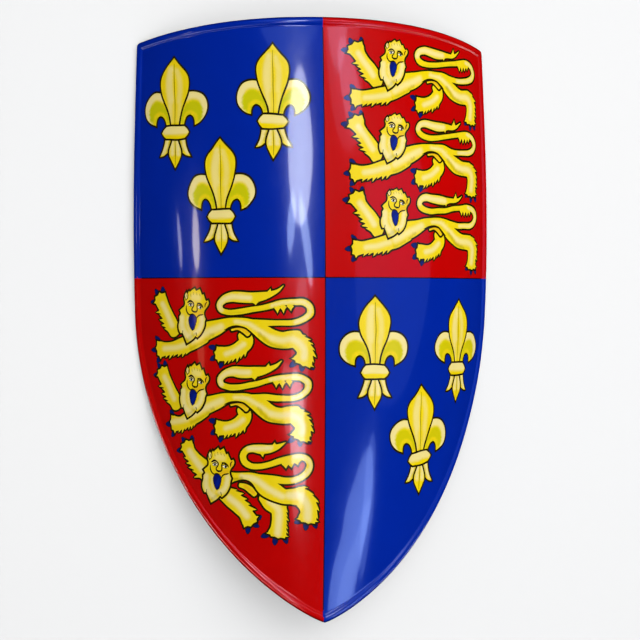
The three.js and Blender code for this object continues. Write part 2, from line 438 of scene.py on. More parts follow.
class Painting:
    """Painted shapes in the order they are laid down: outline, paint, and the touches in it."""

    def __init__(self):
        self.shapes = []

    def add(self, outline, paint, touches=()):
        """Lays one shape over the others."""
        self.shapes.append((np.asarray(outline, float), paint, touches))

    def figure(self, outlines, touches=(), paint="gold", ink=INK):
        """A dark line round the outlines together, then their fill."""
        for outline in outlines:
            self.add(grown(outline, ink), "ink")
        for outline in outlines:
            self.add(outline, paint, touches)

    def pair(self, outline, touches):
        """A figure, and its mirror image across the middle line."""
        self.figure([outline], touches)
        self.figure([(outline * (-1, 1))[::-1]], [(line * (-1, 1), *rest) for line, *rest in touches])

    def line(self, points, width=0.9, paint="ink"):
        """A thin stroke, half as wide at both ends."""
        half = np.full(len(points), width * 0.62)
        half[[0, -1]] *= 0.5
        self.add(limb(np.column_stack([points, half]), cap=1.0), paint)

    def claws(self, *places, length=5.6, width=3.0):
        """Drops, round at the paw and pointed away from it. Each place is across, up and degrees."""
        spine = np.array([[-0.5, width], [0.05, width], [0.35, width * 0.85], [0.6, width * 0.5]])
        for x, y, degrees in places:
            a = np.radians(degrees)
            run = spine[:, :1] * length * np.array([np.cos(a), np.sin(a)]) + (x, y)
            self.figure([limb(np.column_stack([run, spine[:, 1]]), cap=0.9)], (), "claw", 0.55)

    def place(self, figure, change):
        """Copies a figure's shapes through a change of place. Its first shapes stay first."""
        for outline, paint, touches in figure.shapes:
            moved = [(change(line), *rest) for line, *rest in touches]
            self.add(change(outline), paint, moved)


def lily(band_tilt, curl):
    """Fleur-de-lis with the origin in the middle of the band's upper edge. Curl paints its lobes."""
    p = Painting()
    foot = closed(
        [(-14.8, -20), (-17.6, -28), (-22.5, -36)], [(-17, -35), (-12, -32), (-8.2, -26), (-4.2, -12)],
        [(-13.6, -12)])
    p.pair(foot, [
        touch([(-11, -14), (-13.4, -24), (-18.5, -32)], 3.6, "cream", 0.95, 0.3),
        touch([(-6.5, -17), (-10.5, -29)], 2.4, "olive", 0.45)])
    half = smooth([(2.6, -12), (4.4, -18), (6.8, -24), (8.6, -30), (8.2, -35), (5.2, -41), (0, -49.5)])
    p.figure([with_mirror_image(half)], [
        touch([(-3.6, -18), (-4.4, -32)], 4.0, "cream", 0.95, 0.3),
        touch([(3.6, -18), (4.4, -32)], 4.0, "cream", 0.95, 0.3),
        touch([(0, -46), (0, -41)], 4.0, "bright", 0.8)])
    p.line([(0, -14), (0, -30), (0, -45)], 0.9, "olive")

    lobe = closed(
        [(-24, 40.3), (-31, 39.8), (-38.5, 36.3), (-44, 29.5), (-46.2, 21.5), (-44.6, 13.5),
         (-40, 7.5), (-34, 3.4), (-28.5, 1.3)],
        [(-28, 6), (-26.4, 10.3), (-22.6, 13.2), (-17.8, 11.8), (-14, 6.6), (-12.2, 0)],
        [(0, 0)], [(-8, 30), (-16, 38.5)])
    p.pair(lobe, [
        touch([(-36, 7), (-42, 13), (-42.5, 24), (-37, 33), (-27, 36.5), (-16, 34)],
              6.2, "cream", 1.0, 0.45),
        touch([(-31.5, 9), (-32.5, 19), (-27.5, 24), (-20.5, 20), (-13, 9)], 6.8, curl, 1.0, 0.8),
        touch([(-30.5, 6), (-29.5, 12), (-24, 16), (-17, 14.5), (-13, 6)], 3.0, "gold", 0.8, 0.3)])

    half = smooth([(4.8, 0), (6.2, 8.5), (9.6, 18.5), (14.2, 28.5), (18.4, 38.5), (20, 45), (20.6, 52),
                   (19.4, 58.5), (16.2, 64), (10.8, 70), (5, 76), (0, 81.5)])
    p.figure([np.concatenate([with_mirror_image(half), [(-4.8, 0)]])], [
        touch([(-3, 8), (-5, 24), (-7.6, 42), (-7, 54), (-3.6, 67)], 6.8, "cream", 0.75, 0.35),
        touch([(3.6, 8), (5.6, 24), (8, 42), (7.4, 54), (3.6, 66)], 5.0, "cream", 0.5, 0.3),
        touch([(0, 26), (0, 80)], 1.6, "bright", 0.8, 0.2),
        touch([(0, 2), (0, 24)], 7.5, "bright", 0.8, 0.2)])
    p.line([(0, 1), (0, 40), (0, 74)], 1.0, "olive")

    band = Painting()
    band.figure([closed(
        [(-16.5, -3.4), (-12.5, 0)], [(0, 0.4), (12.5, 0)], [(16.5, -3.4), (19.2, -7.4)],
        [(16.6, -11), (13, -14)], [(0, -14.4), (-13, -14)], [(-16.6, -11), (-19.2, -7.4)])], [
        touch([(-13, -12.8), (0, -12.4), (13, -12.8)], 5.2, "bright", 0.9, 0.7),
        touch([(-13.5, -4.6), (0, -4.3), (13.5, -4.6)], 6.0, "cream", 0.9, 0.7)])
    p.place(band, lambda q: turned(q + (0, 7), band_tilt) - (0, 7))
    return p


# Height of the brow over a lion's back
BROW = 27


def head():
    """Mane, beard and face, turned to look out. The origin is where the lion's is."""
    p = Painting()
    mane = closed(
        [(-71.5, 35.8), (-73.2, 31), (-72.3, 25), (-73.2, 21.6), (-76, 19.2), (-79, 16.8)],
        [(-77.4, 13.5), (-80, 10.2)], [(-80, 6.5), (-82, 0), (-81.3, -6), (-79.6, -9.6)],
        [(-76.8, -9.4)], [(-75.5, -12), (-73.3, -17), (-71.3, -21.5)],
        [(-67, -19.3), (-62.5, -16.2), (-59.4, -13)], [(-57.2, -14.8)],
        [(-52.8, -11.4), (-49, -6), (-47, -1), (-46.4, 3.5), (-45, 6.8)],
        [(-46.6, 11), (-46.9, 14.5), (-45.4, 18), (-42.4, 21.6), (-41, 26), (-42.2, 28.6)],
        [(-44.6, 27.6), (-46.6, 31), (-48.4, 35.6)], [(-50.6, 34.6)], [(-51.8, 38), (-53.4, 41.8)],
        [(-56, 40.2), (-58, 39.2)], [(-59.8, 42.4)], [(-63, 40), (-65.5, 37.8)], [(-66.6, 39)],
        [(-68.6, 36)], [(-70, 38)])
    p.figure([mane], [
        touch([(-76.5, 9), (-77, -2), (-73, -10), (-67, -15)], 6.0, "cream", 1.0, 0.2),
        touch([(-49.5, 9), (-51, 0), (-55, -7), (-60, -9)], 4.6, "cream", 1.0, 0.3),
        touch([(-68, 8), (-69, 0), (-66, -8)], 3.0, "cream", 0.8, 0.2),
        touch([(-61, 32), (-55, 31)], 6.5, "cream", 0.65, 0.2),
        touch([(-66, 26), (-62, 25)], 4.0, "cream", 0.5, 0.2),
        touch([(-67, 20), (-66, 14)], 3.0, "bright", 0.9),
        touch([(-59, 12), (-50, 15)], 4.0, "orange", 0.5),
        touch([(-71, -18), (-66, -15), (-60, -11)], 2.4, "olive", 0.3),
        touch([(-44, 26), (-45, 19)], 3.0, "orange", 0.6)])
    ear = closed([(-72.2, 34.5), (-70.4, 37.8)], [(-68.6, 35.4), (-68.8, 31.6)], [(-71, 29.4)])
    p.figure([ear], [touch([(-71, 35), (-70.6, 31.4)], 2.4, "cream")], ink=0.9)
    p.line([(-69.9, 35), (-69.5, 32.2)], 0.9)
    for x, y in ((-64.5, 35.6), (-61, 37.4), (-57, 37), (-53.2, 35.8)):
        p.line([(x, y), (x + 0.6, y - 3.2)], 0.7, "olive")
    p.line([(-43.6, 26.4), (-45.2, 24.4), (-45.6, 20.8)], 1.1)
    # Brows run on into the nose
    p.line([(-68.2, 25.8), (-65, 27.2), (-61.8, 26.2), (-60.4, 24), (-61.4, 21), (-63.3, 18.6),
            (-62.9, 16.2), (-60, 15), (-57.2, 15.4), (-56.1, 18), (-56.2, 22.4), (-55.2, 24.2),
            (-52.5, 24.2), (-49.4, 22.2), (-48, 20)], 1.2)
    p.line([(-68.8, 26), (-65.4, 27.8), (-61.4, 26)], 1.9)
    p.line([(-55.8, 25), (-52.2, 24.4), (-48.6, 21.6)], 1.8)
    p.line([(-63, 16.8), (-60.4, 15.1), (-57.4, 15.8)], 1.9)
    p.add(oval(-64.5, 23.4, 3, 2, 4), "white")
    p.add(oval(-64.7, 23.2, 1.35, 1.35), "ink")
    p.line([(-67.8, 23.4), (-65, 25.4), (-61.9, 23.8)], 1.0)
    p.line([(-67, 22), (-64.4, 21.2), (-62.2, 22.2)], 0.6)
    p.add(oval(-52.2, 20.7, 2.8, 1.8, -16), "white")
    p.add(oval(-51.5, 20.3, 1.3, 1.2, -10), "ink")
    p.line([(-55.1, 21.8), (-52.4, 22.6), (-49.6, 20.4)], 1.0)
    p.line([(-54.2, 19.5), (-52, 18.6), (-49.9, 19.1)], 0.6)
    # Cheeks, and the tongue in the open mouth
    p.line([(-70.6, 22), (-70.5, 17.6), (-68.6, 13.4), (-66, 11.6), (-62.6, 12.6), (-59.4, 11.2)], 1.2)
    p.line([(-57.4, 7), (-55.8, 9.8), (-53, 11.6), (-50, 12), (-48, 12.8)], 1.25)
    tongue = closed(
        [(-63, 11.4), (-60.6, 11), (-58.2, 8.6), (-58, 4), (-59.6, -1), (-61.4, -5), (-63.2, -6)],
        [(-65, -3.4), (-66.6, 2), (-66.8, 7.4), (-65.2, 10.8)])
    p.figure([tongue], [touch([(-60.5, 6), (-63, -1)], 2.6, "blue", 0.7, 0.2)], "tongue", 0.8)
    p.line([(-58.2, 1.6), (-57.8, -1.6)], 0.8, "olive")
    p.line([(-76.4, -6.4), (-76.8, -9.8)], 1.1)
    p.line([(-58.4, -9.2), (-57.6, -13)], 1.2)
    return p


# The walking lions' two poses. Those of the upper rows reach further out, and their tails sag.
# Spines give across, up and half width, and claws give across, up and degrees.
POSES = {
    "upper": {
        "reach": -6, "head": (-2.5, 4), "crown": 0.72,
        "raised": [(-88, -10, 8), (-93, -2, 9), (-99.5, 8, 8.6), (-106, 17, 7.4), (-111.5, 24.5, 8.4),
                   (-114, 29, 10.4)],
        "raised claws": [(-121, 38.6, 125), (-108, 40, 95), (-128.6, 27.6, 175)],
        "trunk": [(6, 1.6, 5.4), (16, -4.2, 7.6), (26, -11.6, 9.3), (36, -17, 9.4), (47, -19.8, 8.6),
                  (57, -20, 8.8), (63, -20.5, 9.4)],
        "hind": [(57, -19.5, 8.6), (65, -22.5, 9.4), (68.8, -30, 9.4), (68.6, -38, 9), (67.6, -44.5, 9.4),
                 (67.2, -48, 11)],
        "hind claws": [(57.5, -51, 215), (67, -55.6, 268), (76.5, -54.6, 290)],
        "tail": [(0, 3.5, 4.5), (13, 3.5, 4), (25, 1, 3.5), (40, -0.5, 3.2), (52, -0.5, 3.2),
                 (63, 1, 3.4), (72, 5.5, 3.6), (75.5, 11, 3.6), (73, 17.5, 3.5), (67, 21.5, 3.3),
                 (58.5, 23, 3.2), (48, 22.5, 3.1), (34, 21, 2.9), (17, 18.5, 2.9),
                 (0, 16.5, 3.2), (-14, 16, 3.3), (-22.5, 18, 3.4), (-27.5, 21.5, 3.5),
                 (-29, 25.5, 3.6), (-26.5, 30, 4), (-19, 32.5, 4.5), (-8, 31.5, 5),
                 (2.5, 30, 5.3), (13, 29.5, 4.5), (21, 30, 3), (29.5, 30, 2.6), (37, 32, 1.8),
                 (45, 37, 0.3)],
        "tufts": [(41, 19, 45, 12.4, 49), (47, 19, 50.6, 11.4, 55), (53, 19, 56.2, 12.4, 61),
                  (58, 19.6, 62, 13.8, 65), (12, 27, 15.6, 23.2, 18), (29, 32.4, 33.3, 39.6, 36)],
    },
    "lower": {
        "reach": 0, "head": (0, 0), "crown": 1,
        "raised": [(-88, -8, 7.4), (-91.5, 0, 9), (-96.5, 9, 8.4), (-101, 18, 7.6), (-105, 25, 8.4),
                   (-107.2, 29.5, 9)],
        "raised claws": [(-118.5, 27, 178), (-113, 37.8, 128), (-103.6, 40.4, 92)],
        "trunk": [(6, 2.2, 5.6), (16, -2.5, 8), (26, -9.5, 9.5), (36, -15.2, 9.6), (48, -17.8, 9.2),
                  (59, -16.5, 9.8), (66, -16, 10)],
        "hind": [(60, -15, 9.3), (69, -22, 9.6), (73.5, -31, 9.2), (72.5, -38, 9.8), (70.8, -42.2, 11.4)],
        "hind claws": [(59.6, -46.4, 215), (70, -49.8, 268), (81, -47.6, 290)],
        "tail": [(5, 2.5, 4.5), (25, 2.8, 3.6), (45, 2.7, 3.3), (62, 3.2, 3.2), (73, 7, 3.6),
                 (79.7, 14, 4.2), (79.2, 21.5, 4), (73, 26.4, 3.7), (62, 27, 3.4), (50, 26, 3.3),
                 (35, 23, 3.1), (15, 18.4, 3.1), (-5, 15, 3.2), (-18, 14.7, 3.3), (-25.5, 18, 3.5),
                 (-27, 23.5, 3.8), (-22.5, 29.5, 4.4), (-13, 32.8, 5.6), (-2, 32.6, 6.6),
                 (10, 32.2, 6.4), (22, 33.6, 5.2), (34, 36.3, 3.4), (42, 39.8, 2), (48.5, 45.5, 0.3)],
        "tufts": [(38, 20.6, 42, 14.4, 46), (45, 21, 49, 14, 53), (53, 22, 57.6, 16, 61),
                  (12, 27, 17, 23.6, 20), (27, 37, 33.5, 43, 36)],
    },
}


def tuft(low, base, tip, tip_height, high):
    """A tooth of fur from a base line to its tip, with both of its sides curved."""
    lean = (tip - low) * 0.55
    rise = (tip_height - base) * 0.5
    root = base - np.sign(rise) * 3
    return closed([(low, base), (low + lean, base + rise * 0.9)], [(tip, tip_height)],
                  [(tip + (high - tip) * 0.35, base + rise), (high, base)], [(tip, root)])


def walking_lion(pose, shorter=0):
    """Lion walking to the left and looking out, with the origin in the middle of its back.

    Shorter draws its lower foreleg in, where the shield narrows.
    """
    p = Painting()
    own = POSES[pose]
    p.claws((-37, -25.5, 168), (-36, -39, 210), (-25.8, -45.6, 250))
    p.figure([limb(
        [(2, -11, 7.2), (4.4, -19, 8.2), (-2.6, -27.5, 8.2), (-13, -32, 7.6), (-22, -33.4, 8),
         (-28, -33.4, 8.6)],
        fur=[(1, 0.34, 0.86, 6, 4.2)], tips=4)],
        [touch([(-20, -33.5), (-8, -30), (2, -23)], 4.6, "cream", 0.9, 0.2),
         touch([(4, -14), (10, -24)], 3.4, "bright", 0.7)])
    p.figure([limb([(-13, -5.4, 1.4), (-5, -4, 2.0), (2, -7, 2.8), (7, -10.6, 3.4)])],
             [touch([(-10, -4.5), (0, -5.4), (6, -9)], 3.2, "orange", 0.65)])

    p.claws(*own["raised claws"])
    raised = np.array(own["raised"])
    p.figure([limb(raised, fur=[(1, 0.1, 0.76, 5, 5.4)], tips=4, cap=0.75)],
             [touch(raised[1:5, :2], 5.4, "cream", 0.9, 0.2)])

    drawn_in = shorter + own["reach"]
    foreleg = np.array([(-48, -12, 9), (-62, -19.5, 9), (-79, -24.6, 8.7), (-94, -27.8, 7.6),
                        (-103, -29, 7.8), (-110, -29.6, 9.4)], float)
    foreleg[:, 0] += drawn_in * np.array([0, 0.1, 0.4, 0.8, 1, 1])
    p.claws(*[(x + drawn_in, y, degrees) for x, y, degrees in (
        (-114, -17.6, 128), (-120, -30.5, 182), (-113, -42, 232))])
    foreleg = limb(foreleg, fur=[(1, 0.36, 0.88, 6, 4.0)], tips=4)
    trunk = limb([(-46, -7.5, 10.6), (-32, -3, 8.7), (-18, 1.8, 5.5), (-5, 3.3, 4.7), *own["trunk"]])
    p.claws(*own["hind claws"])
    hind = limb(own["hind"], fur=[(1, 0.14, 0.88, 6, 3.8)], cap=0.4, tips=5)
    tail = np.array(own["tail"])
    tufts = [tuft(*shape) for shape in own["tufts"]]
    loop, end = tail[3:11, :2], tail[-10:-4, :2]
    rump = np.array(own["trunk"])[3:6, :2]
    glow = [
        touch([(-26, -2), (-46, -10), (-64, -19)], 6.4, "cream", 0.9, 0.15),
        touch([(-72, -23), (-88, -27), (-104, -29)], 5.2, "cream", 0.85, 0.15),
        touch([(-8, 3.5), (8, 1.5), (20, -6), rump[0]], 4.2, "cream", 0.9, 0.15),
        touch([*rump, *np.array(own["hind"])[1:-1, :2]], 6.0, "cream", 0.9, 0.15),
        touch(end, 4.8, "cream", 1.0, 0.2),
        touch(loop, 2.8, "cream", 0.9, 0.3),
        touch([(20, -10), (34, -22), (50, -27)], 2.6, "olive", 0.4),
        touch([(-36, -11), (-52, -22), (-66, -28)], 2.4, "olive", 0.35),
        touch([(-40, 3), (-10, 7), (20, 5)], 2.6, "bright", 0.8),
        touch([(-20, 13), (10, 16), (38, 20)], 2.0, "lime", 0.5)]
    p.figure([limb(tail), trunk, foreleg, hind, *tufts], glow)
    p.line([(-22, -5.6), (-15, -2.6), (-6, -1.6), (2, -3.4), (9, -8), (15, -13)], 1.2)

    def own_head(q):
        """The head in its place, with what is above the brow drawn lower by the crown's share."""
        brow, crown = np.minimum(q[:, 1], BROW), np.maximum(q[:, 1] - BROW, 0)
        return np.stack([q[:, 0], brow + own["crown"] * crown], 1) + own["head"]

    p.place(head(), own_head)
    return p


# Tufts of the striding lion's tail: along one side, the tip, back, and along the base
STRIDING_TUFTS = [
    ([(-53, 188), (-50.5, 185.6)], (-48, 182.8), [(-46, 186), (-43, 190)], [(-46, 193), (-52, 191)]),
    ([(-46, 189), (-44, 186)], (-41.6, 183.8), [(-39.5, 187.5), (-37, 191)], [(-39, 195), (-46, 194)]),
    ([(-39, 190.5), (-36.8, 188.6)], (-34.2, 187), [(-32, 190.5), (-29, 193)], [(-31, 196), (-38, 195)]),
    ([(-70, 208.6), (-64, 210.2)], (-61.2, 213.4), [(-59.4, 210.6), (-56, 208.6)], [(-62, 205)]),
    ([(-82, 202), (-78, 199.6)], (-75, 195.8), [(-73.6, 199.6), (-69, 202)], [(-72, 206), (-80, 206)]),
]


def striding_lion():
    """Lion of the lowest row, stretched along the narrowing side. Its origin is the sheet's."""
    p = Painting()
    p.claws((-184, 201, 190), (-177.5, 213, 130), (-165.5, 214.8, 88))
    p.figure([limb(
        [(-146, 177, 11.5), (-155, 184.4, 10.4), (-163, 192.6, 8.4), (-169.5, 200.4, 8), (-172, 205, 9)],
        fur=[(1, 0.05, 0.8, 5, 5.4)], tips=4, cap=0.75)],
        [touch([(-152, 180), (-163, 192), (-169, 200)], 6.4, "cream", 1.0, 0.2)])
    p.claws((-72.4, 103.6, 200), (-60, 97.2, 262), (-47.6, 99, 290))
    p.figure([
        limb([(-74, 150, 7), (-66, 143.5, 10), (-58, 137, 9)]),
        limb([(-58, 145, 12), (-55.8, 132, 8.8), (-55.6, 120, 8.6), (-56.6, 110.5, 9.6),
              (-57.4, 106.5, 11)],
             fur=[(1, 0.25, 0.92, 6, 2.6)], cap=0.4, tips=5)],
        [touch([(-66, 144), (-57, 136), (-56, 118), (-57, 106)], 6.2, "cream", 1.0, 0.2)])
    p.figure([limb([(-102.6, 162.6, 2.4), (-96, 161, 3.2), (-89, 156.5, 3.8), (-84.5, 152, 3.0)])],
             [touch([(-97, 161), (-87, 154.6)], 3.2, "orange", 0.7)])
    p.claws((-80.4, 124.4, 30), (-83.6, 116, -30), (-92.8, 109.8, -95))
    p.figure([limb(
        [(-124, 153, 8.5), (-113, 146, 10.5), (-103, 137, 9.4), (-95.6, 129, 8.4), (-91, 121.5, 9.6)],
        fur=[(1, 0.1, 0.84, 5, 4.4)], tips=4)],
        [touch([(-116, 147), (-104, 138), (-94, 126)], 6.0, "cream", 1.0, 0.2)])
    p.claws((-33, 120.6, 200), (-24, 114.8, 265), (-13.4, 117, 290))
    body = limb(
        [(-120, 170.5, 8), (-108, 172.3, 4.7), (-98, 173.4, 4), (-88, 172, 5.5), (-80, 167.5, 8.5),
         (-71, 161, 11), (-60, 154.5, 10.2), (-50, 150, 8.6), (-40, 149.8, 9.2), (-30, 148.8, 11),
         (-23, 141, 10.6), (-21, 131, 9.6), (-22.4, 123.6, 10.8)],
        fur=[(1, 0.72, 0.97, 5, 3.2)], cap=0.4, tips=5)
    tail = limb([(-82, 171, 5), (-60, 169.8, 4.2), (-48, 168.4, 3.8), (-38, 169.2, 3.6), (-29, 173, 3.6),
                 (-22, 180, 3.8), (-20.2, 187.5, 3.6), (-23.5, 194, 3.6), (-31, 196.3, 3.5),
                 (-42, 195, 3.4), (-55, 191.6, 3.5), (-68, 187.2, 3.2), (-80, 184.9, 3.2),
                 (-90, 185.6, 3.4), (-97, 190, 3.8), (-99, 197.5, 3.9), (-95, 203.6, 3.8),
                 (-88, 205.8, 4.2), (-78, 205.2, 5.4), (-68, 205.6, 4.8), (-58, 208.2, 3),
                 (-48.5, 213.4, 0.3)])
    tufts = [closed(rise, [tip], fall, base) for rise, tip, fall, base in STRIDING_TUFTS]
    glow = [
        touch([(-100, 174), (-84, 169.5), (-68, 158.5), (-52, 150)], 5.6, "cream", 1.0, 0.2),
        touch([(-44, 151), (-30, 150), (-23, 140), (-22, 124)], 7.0, "cream", 1.0, 0.2),
        touch([(-92, 206), (-78, 206), (-66, 207)], 4.4, "cream", 1.0, 0.2),
        touch([(-40, 169), (-24, 176), (-18.6, 186), (-24, 195.6), (-38, 197)], 3.4, "cream", 0.9, 0.3),
        touch([(-114, 168), (-100, 170.6)], 2.4, "olive", 0.5),
        touch([(-112, 176), (-84, 176), (-64, 172)], 2.4, "bright", 0.8)]
    p.figure([tail, body, *tufts], glow)
    p.line([(-110, 166.6), (-98, 168.6), (-90, 166), (-84, 159.4)], 1.2)
    p.place(head(), lambda q: turned(q + (62, -8), 1.5) * (1.05, 1.02) + (-131.4, 170.8))
    return p


# Where the figures stand: across, up, and their shares of the drawn width and height. A lily
# then has its band's tilt in degrees and its lobes' paint, and a lion has its pose and how far
# its lower foreleg is drawn in.
LILIES = [
    (-184.5, 584.5, 0.94, 1.0, 0, "leaf"), (-62, 594.5, 0.92, 1.03, 0, "leaf"),
    (-125.4, 484.5, 0.895, 1.03, 0, "leaf"), (58.5, 301.5, 0.94, 1.0, 0, "lime"),
    (187, 303, 0.905, 0.925, 0, "lime"), (124, 197.5, 0.955, 0.97, 8, "lime"),
]
LIONS = [
    (147, 645, 0.955, 0.98, "upper"), (146.5, 557.5, 0.965, 0.985, "upper"),
    (147.5, 469, 0.965, 0.98, "upper"), (-100, 350, 1, 1, "lower"),
    (-101, 262.5, 0.985, 1, "lower", 19),
]


# Slow wander of a second drawing by hand: count, longest and shortest of its waves, and their size
WANDER_WAVES = (4, 90, 25)
WANDER = 1.1


def hand_drawn(move, scale, seed):
    """Moves a figure to its place, and lets it wander as a drawing by hand does."""
    def change(q):
        wander = np.stack([waves(*q.T, seed + k, *WANDER_WAVES) for k in (0, 50)], 1)
        return (q + WANDER * wander) * scale + move

    return change


def parting_lines():
    """The dark lines between the quarters, stopping just inside the rim."""
    lower = outline(PARTING_INSET)[: SIDE_POINTS // 2]
    low = lower[np.argmin(np.abs(lower[:, 0] + PALE_LINE)), 1] + 1
    top = top_edge(PALE_LINE, PARTING_INSET)
    side = side_edge(FESS_LINE, PARTING_INSET)[0]
    upright = np.linspace(low, top, UPRIGHT_POINTS)[:, None] * (0, 1) + (PALE_LINE, 0)
    level = np.linspace(-side, side, LEVEL_POINTS)[:, None] * (1, 0) + (0, FESS_LINE)
    return [
        np.concatenate([line - half, (line + half)[::-1]])
        for line, half in ((upright, (PARTING / 2, 0)), (level, (0, PARTING / 2)))]


def painting():
    """The whole face. Each copy of a figure has a seed of its own."""
    p = Painting()
    for line in parting_lines():
        p.add(line, "parting")
    for k, (u, v, wide, tall, *manner) in enumerate(LILIES):
        p.place(lily(*manner), hand_drawn((u, v), (wide, tall), 10 + k))
    for k, (u, v, wide, tall, *pose) in enumerate(LIONS):
        p.place(walking_lion(*pose), hand_drawn((u, v), (wide, tall), 30 + k))
    p.place(striding_lion(), lambda q: q)
    return p


def inside(shape, points):
    """Which points the outline winds around: upward edges on their right less downward ones."""
    ahead = np.roll(shape, -1, axis=0)
    below, above = shape[:, 1] <= points[:, 1:], ahead[:, 1] <= points[:, 1:]
    side = cross2(ahead - shape, points[:, None] - shape)
    winding = (below & ~above & (side > 0)).sum(1) - (~below & above & (side < 0)).sum(1)
    return winding != 0


def in_box(shape, points):
    """Indices of the points in the shape's box."""
    low, high = shape.min(0), shape.max(0)
    return np.flatnonzero(((points >= low) & (points <= high)).all(1))


def covered(shapes, points):
    """Which points lie in any of the shapes."""
    found = np.zeros(len(points), bool)
    for shape in shapes:
        near = in_box(shape, points)
        found[near] |= inside(shape, points[near])
    return found


# Height of a triangle with equal sides, as a share of its side
ROW_HEIGHT = 0.866


def hexagonal(low, high, pitch):
    """Points on a grid of equal triangles: every other row is shifted by half a pitch."""
    x = np.arange(low[0], high[0], pitch)
    y = np.arange(low[1], high[1], pitch * ROW_HEIGHT)
    row, column = np.meshgrid(np.arange(len(y)), x, indexing="ij")
    return np.stack([column + pitch / 2 * (row % 2), y[row]], -1).reshape(-1, 2)


# Makes one number from a cell's column and row
CELL_KEY = (100003, 1)


def clear_of(points, others, size):
    """The points whose square cell, and the eight round it, hold none of the others."""
    cell = np.floor(others / size).astype(int)
    beside = np.stack(np.meshgrid((-1, 0, 1), (-1, 0, 1)), -1).reshape(-1, 1, 2)
    near = (beside + cell).reshape(-1, 2)
    mine = np.floor(points / size).astype(int)
    return points[~np.isin(mine @ CELL_KEY, near @ CELL_KEY)]


def triangulated(loops, fill):
    """Triangles inside the first loop that keep every loop as edges (constrained Delaunay).

    Returns the flat points, the triangles, and where the first loop's points are among them.
    """
    points = np.concatenate([*loops, fill])
    start = np.cumsum([0] + [len(loop) for loop in loops])
    edges = [
        np.stack([np.arange(len(loop)), np.roll(np.arange(len(loop)), -1)], 1) + first
        for loop, first in zip(loops, start)
    ]
    flat, _, triangles, origins, _, _ = delaunay_2d_cdt(
        [Vector(p) for p in points.tolist()], np.concatenate(edges).tolist(), [], 1, 1e-4, True
    )
    flat = np.array([tuple(p) for p in flat])
    triangles = np.array(triangles)
    corner = flat[triangles]
    turns_back = cross2(corner[:, 1] - corner[:, 0], corner[:, 2] - corner[:, 0]) < 0
    triangles[turns_back] = triangles[turns_back][:, ::-1]
    ring = np.zeros(len(loops[0]), int)
    for k, merged in enumerate(origins):
        for i in merged:
            if i < len(ring):
                ring[i] = k
    return flat, triangles, ring


def segment_distance(points, line):
    """Distance to the nearest piece of a line of points."""
    if len(line) == 1:
        return np.linalg.norm(points - line, axis=1)
    start, along = line[:-1], np.diff(line, axis=0)
    away = points[:, None] - start
    share = np.clip((away * along).sum(-1) / ((along**2).sum(-1) + 1e-9), 0, 1)
    return np.linalg.norm(away - share[..., None] * along, axis=-1).min(1)


def ground_paint(flat):
    """Blue or red, by the quarter that each flat point is in."""
    blue, red = linear(PAINTS["blue"]), linear(PAINTS["red"])
    is_blue = (flat[..., 0] < PALE_LINE) == (flat[..., 1] > FESS_LINE)
    return np.where(is_blue[..., None], blue, red)


def painted(flat, triangles, shapes):
    """Colour at each corner of each triangle: the last shape laid over its middle, with its
    touches blended in by their distance."""
    corner = flat[triangles]
    middle = corner.mean(1)
    colour = np.repeat(ground_paint(middle)[:, None], 3, axis=1)
    top = np.full(len(triangles), -1)
    for k, (shape, _, _) in enumerate(shapes):
        near = in_box(shape, middle)
        top[near[inside(shape, middle[near])]] = k
    for k in np.unique(top[top >= 0]):
        _, paint, touches = shapes[k]
        which = np.flatnonzero(top == k)
        at = corner[which].reshape(-1, 2)
        mix = np.repeat(linear(PAINTS[paint])[None], len(at), 0)
        for line, radius, tint, strength, edge in touches:
            reach = np.clip((1 - segment_distance(at, line) / radius) / (1 - edge), 0, 1)
            share = (strength * reach**2 * (3 - 2 * reach))[:, None]
            mix = mix * (1 - share) + linear(PAINTS[tint]) * share
        colour[which] = mix.reshape(-1, 3, 3)
    return colour


def grid_normals(p):
    """Normals of a grid of rings: the change across the rings crossed with the change along them."""
    along = np.roll(p, -1, axis=1) - np.roll(p, 1, axis=1)
    across = np.gradient(p, axis=0)
    return unit(np.cross(across, along))


def strip(below, above):
    """Quads between two closed rings of vertices, facing right as they run forward."""
    return np.stack([below, np.roll(below, -1), np.roll(above, -1), above], 1)


def new_mesh(name, points, faces, normals=None):
    """A mesh object at the origin, smooth, with its place in its mesh."""
    mesh = bpy.data.meshes.new(name)
    mesh.from_pydata(at_rest(points).tolist(), [], [tuple(face) for face in faces])
    mesh.polygons.foreach_set("use_smooth", np.ones(len(mesh.polygons), bool))
    if normals is not None:
        mesh.normals_split_custom_set_from_vertices(tilted(normals).tolist())
    mesh.update()
    piece = bpy.data.objects.new(name, mesh)
    bpy.context.scene.collection.objects.link(piece)
    return piece


# Sections of the rim: distance from the outer edge, height above the face, and the spacing of
# the mesh's rings along them
RIM_FRONT = [
    (12.0, 0), (10.8, 0.02), (9.8, 0.18), (8.9, 0.94), (7.49, 2.03), (5.38, 2.6),
    (3.26, 2.47), (1.34, 1.61), (0.4, 0.4), (0.06, -1.0), (0.0, -2.4),
]
RIM_EDGE = [(0.12, -2.68), (0.4, -LIP), (1.2, -LIP), (1.5, -2.68)]
RIM_BACK = [
    (1.6, -2.4), (1.8, -0.8), (3.46, 0.5), (5.95, 0.7), (8.4, -0.6), (10.1, -1.55), (12.5, -SHEET),
]
FRONT_STEP = 0.95
BACK_STEP = 1.4

# The paint darkens into black over this distance from the outer edge of the lip
# This is painted shade where the rim turns down, mixed with the black lacquer of the back turned round the
# edge
LIP_BLACK_AND_SHADE = 2.6

# Pitch of the mesh's points under figures, on the plain face and on the back, and the clear
# space that they leave inside the face's ring, inside the back's, and at painted outlines
FIGURE_PITCH = 2.3
PLAIN_PITCH = 5.0
BACK_PITCH = 12.0
FACE_MARGIN = 2.0
BACK_MARGIN = 5.0
OUTLINE_CLEARANCE = 0.9

